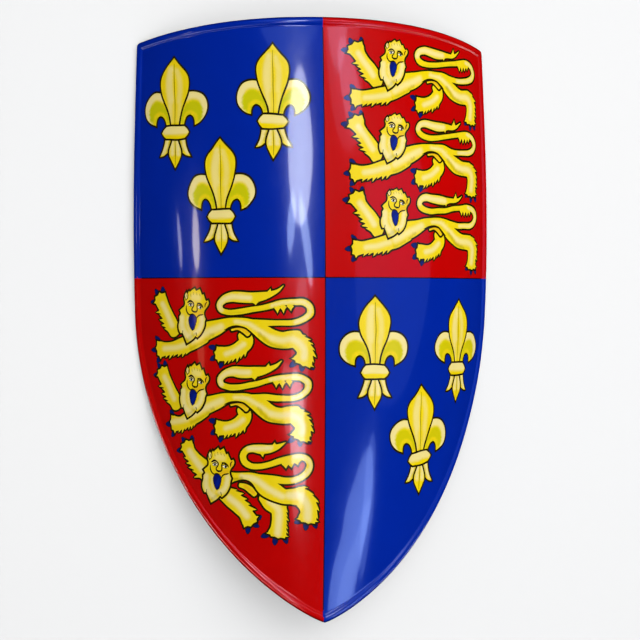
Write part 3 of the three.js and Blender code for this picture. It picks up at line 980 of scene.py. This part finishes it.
# Bake map: each island's shift in millimetres, its scale in map widths to a millimetre, and its
# place in the map. The lip is folded out by this share of its depth.
FRONT_ISLAND = ((256, 6), 1 / 724, (0, 0))
BACK_ISLAND = ((258, 6), 0.28 / 520, (0.71, 0))
LIP_FOLD = 0.8


def face_fill(ring, edge, shapes):
    """Points of the face's mesh inside the edge: finer under figures, and clear of outlines."""
    figures = [shape for shape, paint, _ in shapes if paint not in ("ink", "parting")]
    low, high = ring.min(0), ring.max(0)
    fine, coarse = hexagonal(low, high, FIGURE_PITCH), hexagonal(low, high, PLAIN_PITCH)
    fill = np.concatenate([fine[covered(figures, fine)], coarse[~covered(figures, coarse)]])
    fill = fill[inside(edge, fill)]
    return clear_of(fill, np.concatenate([shape for shape, _, _ in shapes]), OUTLINE_CLEARANCE)


def rim_colours(rings, distance):
    """Colour of each quad between two rings: its quarter's paint, fading into painted shade and black at the
    lip.
    """
    paint = ground_paint((rings + np.roll(rings, -1, axis=1))[:-1] / 2)
    # Painted shade where the rim turns down, mixed with the back's black lacquer round the edge
    dark = np.clip(1 - (distance[:-1] + distance[1:]) / (2 * LIP_BLACK_AND_SHADE), 0, 1)[:, None, None]
    return (paint * (1 - dark) + linear(PAINTS["edge"]) * dark).reshape(-1, 3)


def on_map(flat, shift, scale, corner):
    """Flat points on their island of the bake map."""
    return (flat + shift) * scale + corner


def rim_map(rings, heights, is_front):
    """Bake map of the quads between two rings, with the lip's depth folded out in the front's."""
    drop = np.minimum(heights, 0)[..., None] * unit(rings[0] - rings[0].mean(0)) * LIP_FOLD
    front_map, back_map = on_map(rings - drop, *FRONT_ISLAND), on_map(rings, *BACK_ISLAND)
    is_front = is_front[:, None, None]
    inner = np.where(is_front, front_map[:-1], back_map[:-1])
    outer = np.where(is_front, front_map[1:], back_map[1:])
    corners = [outer, np.roll(outer, -1, axis=1), np.roll(inner, -1, axis=1), inner]
    return np.stack(corners, 2).reshape(-1, 2)


def shield_mesh(name, shapes, hollow):
    """The sheet as one closed body: painted face, rolled rim, turned-down lip and plain back.

    Rings of the outline, each at a point of the rim's section, join the face to the back.
    """
    fronts, backs = smooth(RIM_FRONT, FRONT_STEP), smooth(RIM_BACK, BACK_STEP)
    section = np.concatenate([fronts, RIM_EDGE, backs])
    rings = np.array([outline(inset) for inset, _ in section])
    heights = section[:, 1:] + 0 * rings[..., 0]
    count = rings.shape[1]

    fill = face_fill(rings[0], outline(section[0, 0] + FACE_MARGIN), shapes)
    flat, faces, face_ring = triangulated([rings[0], *(shape for shape, _, _ in shapes)], fill)
    back_fill = hexagonal(rings[0].min(0), rings[0].max(0), BACK_PITCH)
    back_fill = back_fill[inside(outline(section[-1, 0] + BACK_MARGIN), back_fill)]
    back_flat, back_faces, back_ring = triangulated([rings[-1]], back_fill)

    # Places and normals of the face, the rings and the back
    u, v = flat.T
    face_points = front(u, v, 0 * u, hollow)
    face_normals = unit(np.cross(
        front(u + SLOPE_STEP, v, 0 * u, hollow) - front(u - SLOPE_STEP, v, 0 * u, hollow),
        front(u, v + SLOPE_STEP, 0 * u, hollow) - front(u, v - SLOPE_STEP, 0 * u, hollow),
    ))
    ring_hollow = np.where(np.arange(len(rings)) < len(fronts), hollow, 0)[:, None]
    ring_points = front(rings[..., 0], rings[..., 1], heights, ring_hollow)
    ring_normals = grid_normals(ring_points)
    u, v = back_flat.T
    back_points = front(u, v, 0 * u - SHEET, 0)
    back_normals = -face_axes(u, v)[2]

    # The first and last rings are points of the face and of the back
    ids = np.arange((len(rings) - 2) * count).reshape(-1, count) + len(flat)
    back_start = len(flat) + ids.size
    rows = [face_ring, *ids, back_ring + back_start]
    quads = np.concatenate([strip(outer, inner) for inner, outer in zip(rows, rows[1:])])
    points = np.concatenate([face_points, ring_points[1:-1].reshape(-1, 3), back_points])
    normals = np.concatenate([face_normals, ring_normals[1:-1].reshape(-1, 3), back_normals])
    back_faces = back_faces[:, ::-1]
    every_face = [*faces.tolist(), *quads.tolist(), *(back_faces + back_start).tolist()]
    piece = new_mesh(name, points, every_face, normals)

    # Colour at face corners: the painting, the rim in its quarter's paint with painted shade at the lip, and
    # the black back
    distance = np.append(fronts[:, 0], np.zeros(len(rings) - len(fronts)))
    colours = np.concatenate([
        painted(flat, faces, shapes).reshape(-1, 3),
        np.repeat(rim_colours(rings, distance), 4, 0),
        np.repeat(linear(PAINTS["edge"])[None], 3 * len(back_faces), 0),
    ])
    layer = piece.data.color_attributes.new("Paint", "FLOAT_COLOR", "CORNER")
    layer.data.foreach_set("color", np.column_stack([colours, np.ones(len(colours))]).ravel())

    row = np.arange(len(rings) - 1)
    uvs = np.concatenate([
        on_map(flat, *FRONT_ISLAND)[faces].reshape(-1, 2),
        rim_map(rings, heights, row < len(fronts) - 1),
        on_map(back_flat, *BACK_ISLAND)[back_faces].reshape(-1, 2),
    ])
    piece.data.uv_layers.new(name="OFBake").data.foreach_set("uv", uvs.ravel())
    is_back = np.concatenate([
        np.zeros(len(faces), int), np.repeat(row >= len(fronts), count), np.ones(len(back_faces), int)])
    piece.data.polygons.foreach_set("material_index", is_back)
    return piece


# Straps: rounding of their edges, a pressed line's distance from the edge and depth, and the
# ends, as distance past the strap's line and share of the section's thickness
ROUNDING = 0.9
LINE_INSET = 4.3
LINE_DEPTH = 0.45
END_REACH = np.array([[0.9], [0.8]])
END_SHARE = [0.25, 0.55]
END_NARROWING = 1.2


def strap_section(width):
    """Closed section of a strap: across, and depth from its inner face.

    The corners are rounded and a pressed line runs along both edges of the outer face.
    """
    half, r = width / 2, ROUNDING
    turn = np.linspace(0, np.pi / 2, 5)
    quarter = np.stack([np.sin(turn), 1 - np.cos(turn)], 1) * r
    inner = np.stack([np.linspace(-half + r, half - r, 13), np.zeros(13)], 1)
    right = quarter[1:] + (half - r, 0)
    right_top = quarter[::-1][:-1] * (1, -1) + (half - r, LEATHER)
    line = np.array([3.9, LINE_INSET, 4.7, 5.2])
    across = np.concatenate([
        np.linspace(half - r, half - 3.4, 3), half - line,
        np.linspace(half - 6, -half + 6, 11), -half + line[::-1],
        np.linspace(-half + 3.4, -half + r, 3),
    ])
    groove = LINE_DEPTH * np.exp(-(((np.abs(across) - half + LINE_INSET) / LINE_DEPTH) ** 2))
    outer = np.stack([across, LEATHER - groove], 1)
    left_top = quarter[1:] * (-1, -1) + (-half + r, LEATHER)
    left = quarter[::-1][:-1] * (-1, 1) + (-half + r, 0)
    return np.concatenate([inner, right, right_top, outer[1:], left_top, left])


def strap_line(strap):
    """Side view of a strap: flat tabs at both ends and a bow of two cubic curves between."""
    half, reach = strap["span"] / 2, strap["reach"]
    foot = half - TAB
    t = np.linspace(0, 1, 25)[:, None]
    knots = np.array([(-foot, 0), (-foot + 20, 0), (-foot + 4, reach), (0, reach)], float)
    weights = ((1 - t) ** 3, 3 * t * (1 - t) ** 2, 3 * t**2 * (1 - t), t**3)
    rise = sum(w * k for w, k in zip(weights, knots))
    tab = np.linspace(-half + END_REACH[0, 0], -foot, 12)[:-1, None] * (1, 0)
    left = np.concatenate([tab, rise])
    return np.concatenate([left, left[::-1][1:] * (-1, 1)])


def strap_mesh(name, strap):
    """The section carried along the strap's line. Past both ends it shrinks towards its middle
    in two steps, and one face closes it."""
    line = strap_line(strap)
    along = unit(np.gradient(line, axis=0))
    away = np.stack([-along[:, 1], along[:, 0]], 1)
    stations = np.concatenate([
        line[:1] - along[:1] * END_REACH, line, line[-1:] + along[-1:] * END_REACH[::-1]])
    up = np.concatenate([away[:1], away[:1], away, away[-1:], away[-1:]])
    share = np.concatenate([END_SHARE, np.ones(len(line)), END_SHARE[::-1]])[:, None]

    across, depth = strap_section(strap["width"]).T
    narrowed = strap["width"] / 2 - (1 - share) * END_NARROWING
    a = np.sign(across) * np.minimum(np.abs(across), narrowed)
    d = LEATHER / 2 + (depth - LEATHER / 2) * share
    v = strap["middle"] + (stations[:, :1] + up[:, :1] * d)
    points = behind_sheet(strap, a, v, stations[:, 1:] + up[:, 1:] * d)
    ids = np.arange(a.size).reshape(a.shape)
    faces = np.concatenate([strip(lower, upper) for lower, upper in zip(ids, ids[1:])]).tolist()
    faces += [ids[0][::-1].tolist(), ids[-1].tolist()]
    return new_mesh(name, points.reshape(-1, 3), faces)


def rivet_places(strap):
    """Where its four rivets stand: a across the strap, and v up the face."""
    end = strap["span"] / 2 - TAB / 2
    side = strap["width"] * RIVET_OFFSET
    return [(a, strap["middle"] + v) for v in (-end, end) for a in (-side, side)]


def rivet_profile():
    """Half section of a rivet: distance from its axis, and height from the sheet.

    A shank, the underside of the head, a short upright edge, and a domed top.
    """
    under = LEATHER + 2 * GAP
    turn = np.linspace(0, np.pi / 2, 9)
    dome = np.stack([HEAD_RADIUS * np.cos(turn), under + HEAD_EDGE + HEAD_HEIGHT * np.sin(turn)], 1)
    shank = [
        (0, GAP), (SHANK_RADIUS - 0.2, GAP), (SHANK_RADIUS, GAP + 0.2), (SHANK_RADIUS, under),
        (HEAD_RADIUS - 0.2, under), (HEAD_RADIUS, under + 0.15),
    ]
    return np.concatenate([shank, dome])


def rivet_mesh(name, strap, place):
    """The rivet's half section turned about an axis square to the sheet."""
    profile = rivet_profile()
    turn = np.linspace(0, 2 * np.pi, 40, endpoint=False)[:, None]
    ring = profile[1:-1, :, None, None]
    a, v = place
    across, along, out = face_axes(strap["across"], v)
    base = behind_sheet(strap, a, v, 0)
    spread = across * np.cos(turn) + along * np.sin(turn)
    body = base + ring[:, 0] * spread - ring[:, 1] * out
    poles = base - profile[[0, -1], 1][:, None] * out
    ids = np.arange(len(ring) * len(turn)).reshape(-1, len(turn))
    faces = np.concatenate([strip(upper, lower) for lower, upper in zip(ids, ids[1:])]).tolist()
    bottom, top = ids.size, ids.size + 1
    faces += [[bottom, i, j] for i, j in zip(ids[0], np.roll(ids[0], -1))]
    faces += [[top, j, i] for i, j in zip(ids[-1], np.roll(ids[-1], -1))]
    return new_mesh(name, np.concatenate([body.reshape(-1, 3), poles]), faces)


def add(tree, kind, links=(), **settings):
    """Adds a node, sets its sockets or properties by name, and links outputs into it."""
    node = tree.nodes.new(kind)
    for key, value in settings.items():
        name = key.replace("_", " ")
        socket = next((s for s in node.inputs if s.name.lower() == name.lower()), None)
        if socket is None:
            setattr(node, key, value)
        else:
            socket.default_value = value
    for source, output, target in links:
        tree.links.new(source.outputs[output], node.inputs[target])
    return node


def new_material(name):
    """An empty material, and its node tree."""
    material = bpy.data.materials.new(name)
    material.use_nodes = True
    material.node_tree.nodes.clear()
    return material, material.node_tree


def per_metre(size):
    """A pattern's scale, from its real size in millimetres."""
    return 1000 / size


def rgba(hex_colour):
    """The linear colour with full alpha, as sockets take it."""
    return (*linear(hex_colour), 1)


def enamel(settings):
    """Brushed gloss enamel under clear lacquer: deep colour, a soft wide glow and a sharp
    reflection over it, paint of uneven thickness, and the fine scratches of handling."""
    material, tree = new_material("gloss_enamel_on_steel")
    place = add(tree, "ShaderNodeTexCoord")
    paint = add(tree, "ShaderNodeVertexColor", layer_name="Paint")
    # Paint is a little thicker and thinner over areas about three fingers wide
    broad = add(
        tree, "ShaderNodeTexNoise", [(place, "Object", "Vector")], scale=per_metre(45.45), detail=3.0)
    shade = add(tree, "ShaderNodeMapRange", [(broad, "Fac", "Value")], to_min=0.93, to_max=1.07)
    tone = add(tree, "ShaderNodeHueSaturation", [(paint, "Color", "Color"), (shade, "Result", "Value")])
    # Fine scratches of handling are a tenth of a millimetre wide. They are drawn as dull streaks
    # 1.8 mm wide and 12 mm long, so that they show.
    stretch = add(tree, "ShaderNodeMapping", [(place, "Object", "Vector")], scale=(1, 0.15, 1))
    streak = add(
        tree, "ShaderNodeTexNoise", [(stretch, "Vector", "Vector")], scale=per_metre(1.7857), detail=4.0)
    dull = add(
        tree, "ShaderNodeMapRange", [(streak, "Fac", "Value")],
        from_min=0.45, from_max=0.8, to_min=settings.roughness, to_max=settings.roughness + 0.09)
    # Orange peel of the lacquer
    peel = add(
        tree, "ShaderNodeTexNoise", [(place, "Object", "Vector")], scale=per_metre(1.613), detail=2.0)
    bump = add(tree, "ShaderNodeBump", [(peel, "Fac", "Height")], strength=0.12, distance=0.0005)
    shader = add(
        tree, "ShaderNodeBsdfPrincipled",
        [(tone, "Color", "Base Color"), (dull, "Result", "Roughness"), (bump, "Normal", "Normal")],
        specular_ior_level=0.12, coat_weight=0.4, coat_roughness=0.05)
    add(tree, "ShaderNodeOutputMaterial", [(shader, "BSDF", "Surface")])
    return material


def japan_black():
    """Brushed black lacquer on the back: satin and uneven, duller and greyer in clouds about
    60 mm wide, with a fine roughness of brushed-in dust."""
    material, tree = new_material("black_lacquer_on_steel")
    place = add(tree, "ShaderNodeTexCoord")
    cloud = add(tree, "ShaderNodeTexNoise", [(place, "Object", "Vector")], scale=per_metre(62.5), detail=6.0)
    ramp = add(tree, "ShaderNodeMapRange", [(cloud, "Fac", "Value")], to_min=0.35, to_max=0.62)
    mix = add(tree, "ShaderNodeMix", [(cloud, "Fac", 0)], data_type="RGBA")
    mix.inputs[6].default_value = rgba("#141416")
    mix.inputs[7].default_value = rgba("#2A2927")
    fine = add(
        tree, "ShaderNodeTexNoise", [(place, "Object", "Vector")], scale=per_metre(3.333), detail=3.0)
    bump = add(tree, "ShaderNodeBump", [(fine, "Fac", "Height")], strength=0.12, distance=0.0005)
    shader = add(
        tree, "ShaderNodeBsdfPrincipled",
        [(ramp, "Result", "Roughness"), (bump, "Normal", "Normal"), (mix, 2, "Base Color")])
    add(tree, "ShaderNodeOutputMaterial", [(shader, "BSDF", "Surface")])
    return material


def strap_leather(colour):
    """Vegetable-tanned cowhide: a warm brown, darker and lighter in areas 25 mm wide, with a
    pebbled grain of 1.4 mm and a waxy sheen."""
    material, tree = new_material("vegetable_tanned_leather")
    place = add(tree, "ShaderNodeTexCoord")
    cloud = add(tree, "ShaderNodeTexNoise", [(place, "Object", "Vector")], scale=per_metre(25), detail=5.0)
    mix = add(tree, "ShaderNodeMix", [(cloud, "Fac", 0)], data_type="RGBA")
    mix.inputs[6].default_value = tuple(c * 0.55 for c in colour[:3]) + (1,)
    mix.inputs[7].default_value = tuple(min(c * 1.35, 1) for c in colour[:3]) + (1,)
    pebble = add(
        tree, "ShaderNodeTexVoronoi", [(place, "Object", "Vector")],
        scale=per_metre(1.4286), feature="DISTANCE_TO_EDGE")
    bump = add(tree, "ShaderNodeBump", [(pebble, "Distance", "Height")], strength=0.35, distance=0.0006)
    ramp = add(tree, "ShaderNodeMapRange", [(cloud, "Fac", "Value")], to_min=0.45, to_max=0.65)
    shader = add(
        tree, "ShaderNodeBsdfPrincipled",
        [(ramp, "Result", "Roughness"), (bump, "Normal", "Normal"), (mix, 2, "Base Color")])
    add(tree, "ShaderNodeOutputMaterial", [(shader, "BSDF", "Surface")])
    return material


def rivet_steel():
    """Mild steel, peened and rubbed: grey metal with hammer facets of 2 mm and dull spots."""
    material, tree = new_material("peened_mild_steel")
    place = add(tree, "ShaderNodeTexCoord")
    facet = add(tree, "ShaderNodeTexVoronoi", [(place, "Object", "Vector")], scale=per_metre(2))
    bump = add(tree, "ShaderNodeBump", [(facet, "Distance", "Height")], strength=0.2, distance=0.0004)
    spots = add(
        tree, "ShaderNodeTexNoise", [(place, "Object", "Vector")], scale=per_metre(3.846), detail=4.0)
    ramp = add(tree, "ShaderNodeMapRange", [(spots, "Fac", "Value")], to_min=0.22, to_max=0.5)
    shader = add(
        tree, "ShaderNodeBsdfPrincipled", [(ramp, "Result", "Roughness"), (bump, "Normal", "Normal")],
        metallic=1.0, base_color=rgba("#8E8F90"))
    add(tree, "ShaderNodeOutputMaterial", [(shader, "BSDF", "Surface")])
    return material


def plain(name, hex_colour, roughness):
    """A material of one colour."""
    material, tree = new_material(name)
    shader = add(tree, "ShaderNodeBsdfPrincipled", base_color=rgba(hex_colour), roughness=roughness)
    add(tree, "ShaderNodeOutputMaterial", [(shader, "BSDF", "Surface")])
    return material


class ShieldSettings(bpy.types.PropertyGroup):
    roughness: bpy.props.FloatProperty(
        name="Gloss roughness", description="Roughness of the enamel", default=0.16, min=0, max=1)
    hollow: bpy.props.FloatProperty(
        name="Unevenness", description="Half the depth of the hand-worked hollows, in millimetres",
        default=0.22, min=0, max=1)


class StrapSettings(bpy.types.PropertyGroup):
    colour: bpy.props.FloatVectorProperty(
        name="Leather", description="Colour of the straps", subtype="COLOR", size=3,
        default=tuple(linear("#5A3519")), min=0, max=1)


class StudioSettings(bpy.types.PropertyGroup):
    lens: bpy.props.FloatProperty(
        name="Lens", description="Focal length on a sensor 36 mm wide", default=110.44,
        unit="CAMERA")


class SHIELD_OT_sheet(bpy.types.Operator):
    """Makes the painted sheet with its rim and back."""

    bl_idname = "shield.sheet"
    bl_label = "Painted sheet"

    def execute(self, context):
        settings = context.scene.shield
        piece = shield_mesh("painted_shield", painting().shapes, settings.hollow)
        piece.data.materials.append(enamel(settings))
        piece.data.materials.append(japan_black())
        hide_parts("shield")
        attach(piece, "root")
        return {"FINISHED"}


class SHIELD_OT_straps(bpy.types.Operator):
    """Makes the two leather straps behind the sheet."""

    bl_idname = "shield.straps"
    bl_label = "Leather straps"

    def execute(self, context):
        leather = strap_leather(context.scene.shield_straps.colour)
        for node, strap in STRAPS.items():
            piece = strap_mesh(f"leather_{node}", strap)
            piece.data.materials.append(leather)
            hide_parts(node)
            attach(piece, "root")
        return {"FINISHED"}


class SHIELD_OT_rivets(bpy.types.Operator):
    """Makes the rivets that hold the straps, four to each."""

    bl_idname = "shield.rivets"
    bl_label = "Rivets"

    def execute(self, context):
        steel = rivet_steel()
        for node, strap in STRAPS.items():
            for i, place in enumerate(rivet_places(strap), 1):
                piece = rivet_mesh(f"steel_{node}_rivet_{i}", strap, place)
                piece.data.materials.append(steel)
                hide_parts(f"{node}_rivet_{i}")
                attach(piece, "root")
        return {"FINISHED"}


# Camera, from the perspective of the photograph: distance and aim in millimetres, angles in degrees
CAMERA = {"distance": 2283, "yaw": 9.502, "pitch": 0.479, "roll": -0.042, "aim": (-8.778, 355.878, 0)}


def camera_axes():
    """Right, up and back of the camera: yaw about the sheet's length, then pitch, then roll."""
    yaw, pitch, roll = np.radians([CAMERA["yaw"], CAMERA["pitch"], CAMERA["roll"]])
    back = np.array([-np.sin(yaw) * np.cos(pitch), np.sin(pitch), np.cos(yaw) * np.cos(pitch)])
    right = np.array([np.cos(yaw), 0, np.sin(yaw)])
    up = np.cross(back, right)
    turn = np.cos(roll) * right + np.sin(roll) * up
    return turn, np.cross(back, turn), back


def world_matrix(right, up, back, place):
    """The matrix that looks against back, from a place in metres."""
    matrix = np.eye(4)
    matrix[:3] = np.stack([right, up, back, place], 1)
    return Matrix(matrix)


def aimed(direction, roll):
    """World matrix of a softbox in a direction (across and along, in degrees), facing the
    shield, with its height up the sheet but for the roll."""
    across, along = np.radians(direction)
    back = np.array([np.sin(across) * np.cos(along), np.sin(along), np.cos(across) * np.cos(along)])
    level = unit(np.cross((0, 1, 0), back))
    right = level * np.cos(np.radians(roll)) + np.cross(back, level) * np.sin(np.radians(roll))
    place = np.array(SOFTBOX_AIM) + back * SOFTBOX_DISTANCE
    return world_matrix(right, np.cross(back, right), back, place)


# Softboxes: direction from overhead (across, along), width and height as seen from the shield,
# and roll, all in degrees, then radiance and colour. The banks light the shield and the floor,
# the paper fill lights the floor alone and nothing shades it, which keeps the shadow soft, and
# the round panels are what the gloss shows. The rim lines lie so low that only the rim shows them.
BANKS = {
    "ceiling_bank": ((14, 10), (60, 56), 0, 1.05, "#FFFFFF"),
    "top_bank": ((24, 22), (44, 34), 0, 2.1, "#FFFFFF"),
    "paper_fill": ((0, 0), (50, 50), 0, 6.3, "#FFFFFF"),
}
PANELS = {
    "ceiling_glow": ((-10, 34), (38, 26), 0, 2.2, "#A8C4FF"),
    "upper_patch_wide": ((20, 23), (17, 21), 35, 1.4, "#CCD4FF"),
    "upper_patch_top": ((17, 27), (11, 13), 0, 4.2, "#CCD4FF"),
    "upper_patch": ((23.4, 18.8), (6.5, 14), 55, 5.0, "#CCD4FF"),
    "strip_high": ((-4.3, 14.2), (12, 14), 0, 20, "#F4F8FF"),
    "strip_leg_left": ((-9, 7.6), (4, 6.5), -30, 18, "#C8DCFF"),
    "strip_leg_right": ((-1.6, 6.3), (3.4, 10), 38, 18, "#C8DCFF"),
    "strip_low": ((-6, -5), (9, 18), -20, 3.4, "#D8E4FF"),
    "strip_low_bright": ((-8.3, -11.8), (9, 12), 6, 13, "#F4F0FF"),
    "strip_low_side": ((-13.5, -8.6), (7, 6), 0, 5, "#FFE0F0"),
    "strip_low_end": ((-11.3, -17.4), (4.5, 4), 0, 4, "#FFE0F0"),
    "lower_patch_right": ((39.4, -17.8), (7.5, 12), 0, 5.0, "#A8C4FF"),
    "lower_patch": ((27.3, -22.4), (31, 11.5), 30, 10.4, "#A8C4FF"),
    "lower_patch_core": ((28.6, -24.0), (27, 5), 30, 3.5, "#B8D0FF"),
    "left_strip": ((-61.5, 4.3), (4.0, 6), 0, 20, "#FFF2D8"),
    "left_strip_outer": ((-71, 3.8), (2.0, 5), 0, 12, "#F4F4FF"),
    "left_strip_low": ((-63, -3.5), (5, 10), 0, 3.2, "#FFC8A0"),
    "right_glow": ((48, 3), (46, 24), 0, 1.0, "#A0BCFF"),
    "rim_line_left": ((-110, -18), (26, 8), -25, 14, "#FFFFFF"),
    "rim_line_low_left": ((-88, -27.5), (26, 8), -18, 12, "#FFFFFF"),
    "rim_line_bottom_left": ((-63, -36), (26, 7), -12, 11, "#FFFFFF"),
    "rim_line_point_left": ((-34, -41), (26, 6), -6, 9, "#FFFFFF"),
    "rim_line_point_right": ((40, -39.5), (26, 6), 8, 9, "#FFFFFF"),
    "rim_line_bottom_right": ((68, -34), (26, 6), 14, 8, "#FFFFFF"),
    "rim_line_low_right": ((94, -27), (24, 6), 22, 7, "#FFFFFF"),
}

# In metres: how far the softboxes stand and where they face, and half the floor's width
SOFTBOX_DISTANCE = 3.2
SOFTBOX_AIM = (0, 0, 0.1)
FLOOR_REACH = 4


class SHIELD_OT_studio(bpy.types.Operator):
    """Makes the camera, the pale floor and the soft lights."""

    bl_idname = "shield.studio"
    bl_label = "Studio"

    def execute(self, context):
        scene = context.scene
        axes = camera_axes()
        place = np.array(CAMERA["aim"]) + axes[2] * CAMERA["distance"]
        data = bpy.data.cameras.new("camera")
        data.lens = scene.shield_studio.lens
        data.sensor_width = 36
        data.clip_end = 50
        camera = bpy.data.objects.new("camera", data)
        camera.matrix_world = world_matrix(*(tilted(axis) for axis in axes), at_rest(place))
        scene.collection.objects.link(camera)
        scene.camera = camera

        mesh = bpy.data.meshes.new("floor")
        corners = np.array([(-1, -1, 0), (1, -1, 0), (1, 1, 0), (-1, 1, 0)]) * FLOOR_REACH
        mesh.from_pydata(corners.tolist(), [], [(0, 1, 2, 3)])
        # Seamless paper without any shine, which this much light turns nearly white
        mesh.materials.append(plain("matt_white_paper", "#A2A2A2", 0.9))
        floor = bpy.data.objects.new("floor", mesh)
        scene.collection.objects.link(floor)
        floor.visible_glossy = False
        floor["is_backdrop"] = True

        for name, (direction, size, roll, radiance, colour) in {**BANKS, **PANELS}.items():
            light = bpy.data.lights.new(name, "AREA")
            light.shape = "ELLIPSE" if name in PANELS else "RECTANGLE"
            light.size, light.size_y = 2 * SOFTBOX_DISTANCE * np.tan(np.radians(size) / 2)
            area = light.size * light.size_y * (np.pi / 4 if name in PANELS else 1)
            light.energy = radiance * np.pi * area
            light.color = linear(colour)
            lamp = bpy.data.objects.new(name, light)
            lamp.matrix_world = aimed(direction, roll)
            lamp.visible_camera = False
            lamp.visible_glossy = name in PANELS
            lamp.visible_diffuse = name in BANKS
            scene.collection.objects.link(lamp)
            if name == "paper_fill":
                paper = bpy.data.collections.new("paper")
                paper.objects.link(floor)
                lamp.light_linking.receiver_collection = paper
                lamp.light_linking.blocker_collection = paper

        world = bpy.data.worlds.new("studio")
        world.use_nodes = True
        sky = world.node_tree.nodes["Background"]
        sky.inputs["Color"].default_value = rgba("#F6F6F6")
        sky.inputs["Strength"].default_value = 0.36
        world.cycles_visibility.glossy = False
        scene.world = world
        scene.view_settings.view_transform = "Standard"
        scene.view_settings.look = "Medium High Contrast"
        return {"FINISHED"}


class SHIELD_PT_panel(bpy.types.Panel):
    """Lists the makers and their settings in the sidebar."""

    bl_label = "Heater shield"
    bl_idname = "SHIELD_PT_panel"
    bl_space_type = "VIEW_3D"
    bl_region_type = "UI"
    bl_category = "Shield"

    def draw(self, context):
        layout = self.layout
        scene = context.scene
        layout.prop(scene.shield, "roughness")
        layout.prop(scene.shield, "hollow")
        layout.operator("shield.sheet")
        layout.prop(scene.shield_straps, "colour")
        layout.operator("shield.straps")
        layout.operator("shield.rivets")
        layout.prop(scene.shield_studio, "lens")
        layout.operator("shield.studio")


CLASSES = (
    ShieldSettings, StrapSettings, StudioSettings, SHIELD_OT_sheet, SHIELD_OT_straps,
    SHIELD_OT_rivets, SHIELD_OT_studio, SHIELD_PT_panel,
)


def register():
    for cls in CLASSES:
        bpy.utils.register_class(cls)
    bpy.types.Scene.shield = bpy.props.PointerProperty(type=ShieldSettings)
    bpy.types.Scene.shield_straps = bpy.props.PointerProperty(type=StrapSettings)
    bpy.types.Scene.shield_studio = bpy.props.PointerProperty(type=StudioSettings)


def unregister():
    del bpy.types.Scene.shield, bpy.types.Scene.shield_straps, bpy.types.Scene.shield_studio
    for cls in reversed(CLASSES):
        bpy.utils.unregister_class(cls)


def main():
    register()
    bpy.ops.shield.studio()
    bpy.ops.shield.sheet()
    bpy.ops.shield.straps()
    bpy.ops.shield.rivets()
    sizes = {"cad": CAD_BOX, "visual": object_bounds()}
    {key: [list(map(float, corner)) for corner in box] for key, box in sizes.items()}


if __name__ == "__main__":
    main()
